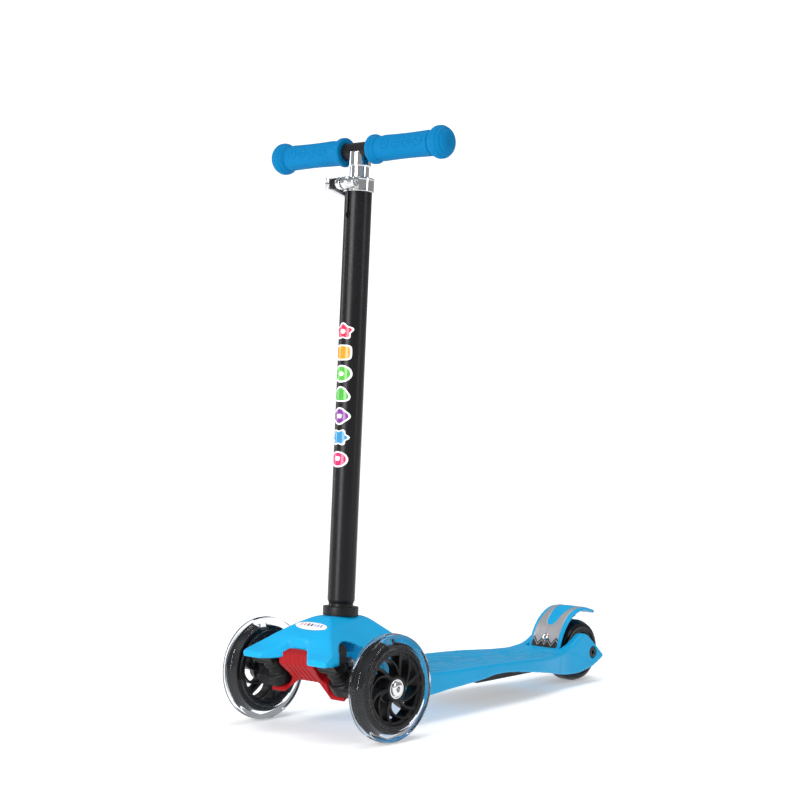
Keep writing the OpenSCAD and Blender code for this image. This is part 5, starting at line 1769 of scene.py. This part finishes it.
@dataclass(frozen=True)
class Finish:
    """Finish of one material: base colour, gloss, grain, wear, scratches and dust.

    Colours are linear; grain is the spacing in grains to the metre over about 6.
    """

    name: str
    colour: tuple[float, float, float]
    roughness: float = 0.4
    metallic: float = 0.0
    grain: float = 2600.0
    bump: float = 0.06
    flow: float = 0.12
    wear_colour: tuple[float, float, float] | None = None
    wear: float = 0.0
    bend: float = 0.56
    scratch: float = 0.0
    dust: float = 0.0
    coat: float = 0.0
    specular: float = 0.5

    def material(self) -> bpy.types.Material:
        """Builds the material.

        Returns:
            The finished material.
        """
        material = bpy.data.materials.new(self.name)
        material.use_nodes = True
        material.node_tree.nodes.clear()
        tree = Tree(material.node_tree)
        out = tree.add("ShaderNodeOutputMaterial")
        shader = tree.add("ShaderNodeBsdfPrincipled", Metallic=self.metallic)
        shader.inputs["Specular IOR Level"].default_value = self.specular
        shader.inputs["Coat Weight"].default_value = self.coat
        shader.inputs["Coat Roughness"].default_value = 0.12
        tree.tree.links.new(shader.outputs[0], out.inputs["Surface"])
        place = tree.add("ShaderNodeTexCoord").outputs["Object"]
        self.surface(tree, shader, place)
        return material

    def colours(self, tree: Tree, place: Plug, shade: Plug) -> Plug:
        """Gives the base colour before wear: a darker and a lighter tone mixed by the flow marks."""
        dark = tuple(max(c * 0.55, 0.0) for c in self.colour) + (1.0,)
        light = tuple(min(c * 1.45 + 0.004, 1.0) for c in self.colour) + (1.0,)
        return tree.mix(shade, dark, light)

    def surface(self, tree: Tree, shader: Node, place: Plug) -> None:
        """Links grain, wear, scratches and dust into the shader.

        Args:
            tree: Helper of the material's tree.
            shader: The Principled shader.
            place: Object coordinates.
        """
        link = tree.tree.links.new
        grain = tree.add("ShaderNodeGroup", {"node_tree": EFFECTS.grain}, Vector=place, Fineness=self.grain,
                         Depth=1.0, Flow=self.flow * 3)
        colour = self.colours(tree, place, grain.outputs["Shade"])
        uneven = tree.math("SUBTRACT", grain.outputs["Gloss"], 0.5)
        rough = tree.math("MULTIPLY_ADD", uneven, 0.16, self.roughness)
        height = grain.outputs["Height"]
        if self.wear > 0:
            wear = tree.add("ShaderNodeGroup", {"node_tree": EFFECTS.wear}, Vector=place, Bend=self.bend,
                            Amount=self.wear).outputs[0]
            tint = self.wear_colour or tuple(min(c * 1.5 + 0.06, 1.0) for c in self.colour)
            colour = tree.mix(wear, colour, tint + (1.0,))
            rough = tree.math("MULTIPLY_ADD", wear, 0.12, rough)
        if self.scratch > 0:
            scratch = tree.add("ShaderNodeGroup", {"node_tree": EFFECTS.scratches}, Vector=place,
                               Density=self.scratch).outputs[0]
            rough = tree.math("MULTIPLY_ADD", scratch, 0.22, rough)
            height = tree.math("MULTIPLY_ADD", scratch, -0.9, height)
        if self.dust > 0:
            dust = tree.add("ShaderNodeGroup", {"node_tree": EFFECTS.dust}, Vector=place,
                            Amount=self.dust).outputs[0]
            colour = tree.mix(dust, colour, (0.55, 0.52, 0.48, 1.0))
            rough = tree.math("MULTIPLY_ADD", dust, 0.4, rough)
        bump = tree.add("ShaderNodeBump", Strength=self.bump, Distance=0.0004, Height=height)
        link(colour, shader.inputs["Base Color"])
        link(rough, shader.inputs["Roughness"])
        link(bump.outputs[0], shader.inputs["Normal"])


@dataclass(frozen=True)
class ClearCast(Finish):
    """Clear cast polyurethane: refracting, faintly blue-grey, with a soft sheen of scuffs."""

    ior: float = 1.49

    def material(self) -> bpy.types.Material:
        """Builds the clear material: plain transmission, its roughness and bump from grain and scuffs."""
        material = super().material()
        shader = next(n for n in material.node_tree.nodes if n.type == "BSDF_PRINCIPLED")
        shader.inputs["Transmission Weight"].default_value = 1.0
        shader.inputs["IOR"].default_value = self.ior
        return material

    def surface(self, tree: Tree, shader: Node, place: Plug) -> None:
        """Links a colour that hardly varies, faint flow lines and small scuffs into the shader."""
        cloud = tree.noise(place, 40.0, 3.0)
        colour = tree.mix(cloud, tuple(c * 0.97 for c in self.colour) + (1.0,), self.colour + (1.0,))
        scuff = tree.add("ShaderNodeGroup", {"node_tree": EFFECTS.scratches}, Vector=place,
                         Density=0.6).outputs[0]
        rough = tree.math("MULTIPLY_ADD", scuff, 0.10, self.roughness)
        bump = tree.add("ShaderNodeBump", Strength=self.bump, Distance=0.0003,
                        Height=tree.noise(place, 160.0, 2.0))
        tree.tree.links.new(colour, shader.inputs["Base Color"])
        tree.tree.links.new(rough, shader.inputs["Roughness"])
        tree.tree.links.new(bump.outputs[0], shader.inputs["Normal"])


@dataclass(frozen=True)
class Printed(Finish):
    """Printed plastic film that takes its colours from the piece's own point colours."""

    def colours(self, tree: Tree, place: Plug, shade: Plug) -> Plug:
        """Gives the printed colours, a little darker and lighter in patches like ink."""
        ink = tree.add("ShaderNodeVertexColor", {"layer_name": "print"}).outputs["Color"]
        patch = tree.noise(place, 600.0, 2.0)
        return tree.mix(tree.math("MULTIPLY", patch, 0.14), ink, (0.02, 0.02, 0.02, 1.0))


@dataclass(frozen=True)
class Badge(Finish):
    """White badge with plain coloured bars across it, under a glossy coat."""

    bars: tuple[tuple[float, float, tuple[float, float, float]], ...] = (
        (-0.0150, 0.0016, (0.75, 0.35, 0.28)), (-0.0100, 0.0018, (0.72, 0.28, 0.24)),
        (-0.0045, 0.0019, (0.16, 0.10, 0.12)), (0.0008, 0.0018, (0.14, 0.12, 0.16)),
        (0.0060, 0.0016, (0.40, 0.42, 0.62)), (0.0108, 0.0018, (0.30, 0.34, 0.60)),
        (0.0156, 0.0015, (0.22, 0.24, 0.40)))

    def colours(self, tree: Tree, place: Plug, shade: Plug) -> Plug:
        """Gives white with a bar wherever X and the slope's place lie inside one of the bars."""
        x, y, _ = (tree.add("ShaderNodeSeparateXYZ", Vector=place).outputs[k] for k in range(3))
        middle = (Deck.badge_pose().origin[1] - PLACE.middle_y) * MM
        across = tree.math("ABSOLUTE", tree.math("SUBTRACT", y, middle))
        tall = tree.math("SUBTRACT", 1.0, tree.ramp(across, 0.0018, 0.0023))
        colour = (self.colour + (1.0,))
        for at, half, tint in self.bars:
            off = tree.math("ABSOLUTE", tree.math("SUBTRACT", x, at))
            bar = tree.math("MULTIPLY", tree.math("SUBTRACT", 1.0, tree.ramp(off, half - 0.0003, half)), tall)
            colour = tree.mix(bar, colour, tint + (1.0,))
        return colour


@dataclass(frozen=True)
class SilverSheet(Finish):
    """Satin silver sheet with a dark angular print over its foot."""

    def colours(self, tree: Tree, place: Plug, shade: Plug) -> Plug:
        """Gives silver and, below a zigzag that folds X back and forth, a dark print with a thin line."""
        parts = tree.add("ShaderNodeSeparateXYZ", Vector=place)
        x = tree.math("ABSOLUTE", parts.outputs[0])
        fold = tree.math("PINGPONG", tree.math("ADD", x, 0.002), 0.0065)
        line = tree.math("MULTIPLY_ADD", fold, 1.1, tree.math("MULTIPLY_ADD", x, 0.12, 0.0535))
        below = tree.math("SUBTRACT", line, parts.outputs[2])
        print_mask = tree.ramp(below, -0.0003, 0.0003)
        gap = tree.ramp(tree.math("ABSOLUTE", tree.math("SUBTRACT", below, 0.0030)), 0.0004, 0.0008)
        silver = super().colours(tree, place, shade)
        return tree.mix(tree.math("MULTIPLY", print_mask, gap), silver, (0.025, 0.025, 0.028, 1.0))


def finishes() -> dict[str, Finish]:
    """Lists the finish of each material slot of the scooter.

    Returns:
        Slot name to finish.
    """
    return {
        "blue_plastic": Finish("sky blue moulding", (0.001, 0.335, 0.640), 0.36, grain=1500, bump=0.06,
                               flow=0.06,
                               wear=0.10, bend=0.57, scratch=0.5, dust=0.01, specular=0.20),
        "black_plastic": Finish("black moulding", (0.003, 0.003, 0.004), 0.40, grain=2300, bump=0.006,
                                flow=0.3,
                                wear_colour=(0.04, 0.04, 0.045), wear=0.20, dust=0.008, specular=0.24),
        "red_plastic": Finish("red moulding", (0.31, 0.003, 0.006), 0.40, grain=1500, bump=0.07, flow=0.12,
                              wear=0.08, dust=0.01, specular=0.14),
        "badge_print": Badge("printed badge", (0.86, 0.86, 0.86), 0.18, bump=0.02, coat=0.5),
        "zinc_steel": Finish("zinc plated steel", (0.55, 0.56, 0.58), 0.32, 1.0, grain=900, bump=0.05,
                             flow=0.25,
                             wear=0.2, dust=0.06),
        # dark steel whose colour is made darker still as painted shade, so that the rear axle nut in the fork's
        # recess looks as dark as the shade there; the lighter edges are wear
        "dark_steel": Finish("blackened steel", (0.012, 0.012, 0.014), 0.36, 0.6, grain=900, bump=0.05,
                             flow=0.3,
                             wear_colour=(0.16, 0.16, 0.17), wear=0.4),
        "spring_steel": Finish("spring wire", (0.38, 0.38, 0.40), 0.30, 1.0, grain=1400, bump=0.05,
                               flow=0.3),
        "black_paint": Finish("black powder coat", (0.0045, 0.0042, 0.0055), 0.30, grain=1300,
                              bump=0.05, flow=0.25,
                              wear_colour=(0.05, 0.05, 0.05), wear=0.16, scratch=0.5, dust=0.005,
                              specular=0.20),
        "sticker_print": Printed("printed film", (0.9, 0.9, 0.9), 0.24, bump=0.02, coat=0.4, specular=0.3),
        "chrome": Finish("bright chrome", (0.80, 0.81, 0.83), 0.07, 1.0, grain=500, bump=0.012, flow=0.08,
                         scratch=0.4, dust=0.02),
        "cast_lever": Finish("polished casting", (0.62, 0.62, 0.64), 0.24, 1.0, grain=1100, bump=0.05,
                             flow=0.16,
                             scratch=0.5),
        "blue_rubber": Finish("sky blue rubber", (0.000, 0.150, 0.350), 0.60, grain=2200, bump=0.12,
                              flow=0.05,
                              wear=0.03, dust=0.0, specular=0.05),
        "bush_plastic": Finish("natural acetal", (0.80, 0.78, 0.70), 0.4, bump=0.05),
        "clear_tyre": ClearCast("clear polyurethane", (0.86, 0.90, 0.95), 0.025, bump=0.0, ior=1.30,
                                specular=0.8),
        "black_tyre": Finish("black polyurethane", (0.005, 0.006, 0.009), 0.20, grain=700, bump=0.03,
                             flow=0.3,
                             wear_colour=(0.05, 0.05, 0.05), wear=0.12, scratch=0.6, dust=0.01,
                             specular=0.24),
        "silver_sheet": SilverSheet("silver sheet", (0.40, 0.39, 0.40), 0.40, 0.5, grain=1500, bump=0.05,
                                    flow=0.14, scratch=0.6),
        "brake_rubber": Finish("brake rubber", (0.02, 0.02, 0.02), 0.7, grain=1200, bump=0.2, flow=0.3),
    }


def dress(pieces: Sequence[Piece]) -> None:
    """Gives every new piece and every carried-over part the finish of its material slot.

    Args:
        pieces: The new pieces.
    """
    made = {slot: finish.material() for slot, finish in finishes().items()}
    slots = {part["node"]: part["material_slot"] for part in frame["record"]["subparts"]}
    for node, part in frame["nodes"].items():
        part.data.materials.clear()
        part.data.materials.append(made[slots[node]])
    for piece in pieces:
        slot = piece["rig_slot"]
        piece.data.materials.clear()
        piece.data.materials.append(made[slot])


# --- studio


@dataclass
class Studio:
    """Pale floor, soft lights and the camera."""

    eye: tuple[float, float, float] = (1454.66, -1456.85, 411.01)
    lens: float = 81.92
    turn: tuple[float, float, float] = (88.98, 0.0, 42.59)

    def build(self) -> None:
        """Sets up the whole studio."""
        self.floor()
        self.lights()
        self.camera()

    def floor(self) -> None:
        """Lays a wide pale floor with a very faint mottle."""
        side = np.linspace(-30, 30, 3)
        x, y = np.meshgrid(side, side, indexing="ij")
        points = np.stack([x, y, np.zeros_like(x)], -1).reshape(-1, 3) / MM + np.array([0, PLACE.middle_y, 0])
        floor = into_scene("studio_floor", points, grid_faces(3, 3, flipped=True))
        material = bpy.data.materials.new("studio floor")
        material.use_nodes = True
        tree = Tree(material.node_tree)
        shader = next(n for n in material.node_tree.nodes if n.type == "BSDF_PRINCIPLED")
        shader.inputs["Roughness"].default_value = 0.9
        shader.inputs["Specular IOR Level"].default_value = 0.1
        place = tree.add("ShaderNodeTexCoord").outputs["Object"]
        tone = tree.mix(tree.noise(place, 2.0), (0.86, 0.86, 0.86, 1.0), (0.89, 0.89, 0.89, 1.0))
        away = tree.add("ShaderNodeVectorMath", {"operation": "LENGTH"}, _0=place).outputs["Value"]
        glow = tree.mix(tree.ramp(away, 0.9, 3.5), (0.34, 0.34, 0.34, 1.0), (0.80, 0.80, 0.80, 1.0))
        shader.inputs["Emission Strength"].default_value = 1.0
        tree.tree.links.new(glow, shader.inputs["Emission Color"])
        tree.tree.links.new(tone, shader.inputs["Base Color"])
        floor.data.materials.append(material)

    @staticmethod
    def light(name: str, place: Sequence[float], target: Sequence[float], size: tuple[float, float],
              power: float) -> None:
        """Hangs one soft rectangular light and points it at a place.

        Args:
            name: Name of the light.
            place: Where it hangs, in metres.
            target: What it points at.
            size: Its width and height.
            power: Its power in watts.
        """
        data = bpy.data.lights.new(name, "AREA")
        data.shape = "RECTANGLE"
        data.size, data.size_y = size
        data.energy = power
        lamp = bpy.data.objects.new(name, data)
        lamp.location = place
        lamp.rotation_euler = (Vector(target) - Vector(place)).to_track_quat("-Z", "Y").to_euler()
        bpy.context.scene.collection.objects.link(lamp)

    def lights(self) -> None:
        """Hangs a key light, a strip on each side and a top light, in a pale world."""
        self.light("key", (0.15, -2.7, 1.0), (0, 0, 0.35), (1.0, 1.9), 62)
        self.light("right strip", (2.6, 0.9, 1.2), (0, 0, 0.3), (0.4, 1.8), 14)
        self.light("left strip", (-2.2, -0.9, 1.0), (0, 0, 0.3), (0.4, 1.8), 14)
        self.light("top", (0.3, 0.2, 3.0), (0, 0, 0), (2.0, 2.0), 46)
        world = bpy.data.worlds.new("studio")
        world.use_nodes = True
        world.node_tree.nodes.clear()
        tree = Tree(world.node_tree)
        seen = tree.add("ShaderNodeBackground", Color=(1, 1, 1, 1), Strength=1.15)
        lit = tree.add("ShaderNodeBackground", Color=(0.97, 0.98, 1, 1), Strength=0.35)
        path = tree.add("ShaderNodeLightPath")
        mixed = tree.add("ShaderNodeMixShader", _0=path.outputs["Is Camera Ray"], _1=lit.outputs[0],
                         _2=seen.outputs[0])
        out = tree.add("ShaderNodeOutputWorld")
        tree.tree.links.new(mixed.outputs[0], out.inputs["Surface"])
        bpy.context.scene.world = world

    def camera(self) -> None:
        """Puts the camera in place and makes it the scene's camera."""
        data = bpy.data.cameras.new("camera")
        data.lens = self.lens
        data.sensor_width = 36.0
        camera = bpy.data.objects.new("camera", data)
        camera.location = (np.array(self.eye) - np.array([0.0, PLACE.middle_y, 0.0])) * MM
        camera.rotation_euler = tuple(math.radians(a) for a in self.turn)
        bpy.context.scene.collection.objects.link(camera)
        bpy.context.scene.camera = camera
        bpy.context.scene.view_settings.view_transform = "Standard"


def main() -> None:
    """Builds the scooter's pieces in order, dresses them and lights them."""
    logging.basicConfig(level=logging.INFO, format="%(name)s: %(message)s")
    builders = [Deck(), Steering(), FrontWheel(Side.LEFT), FrontWheel(Side.RIGHT), RearWheel(), Brake(),
                Post()]
    pieces: list[Piece] = []
    for builder in builders:
        made = builder.build()
        for piece in made:
            LOG.info("%s: %d faces", piece.name, len(piece.data.polygons))
        pieces += made
    dress(pieces)
    Studio().build()


if __name__ == "__main__":
    main()
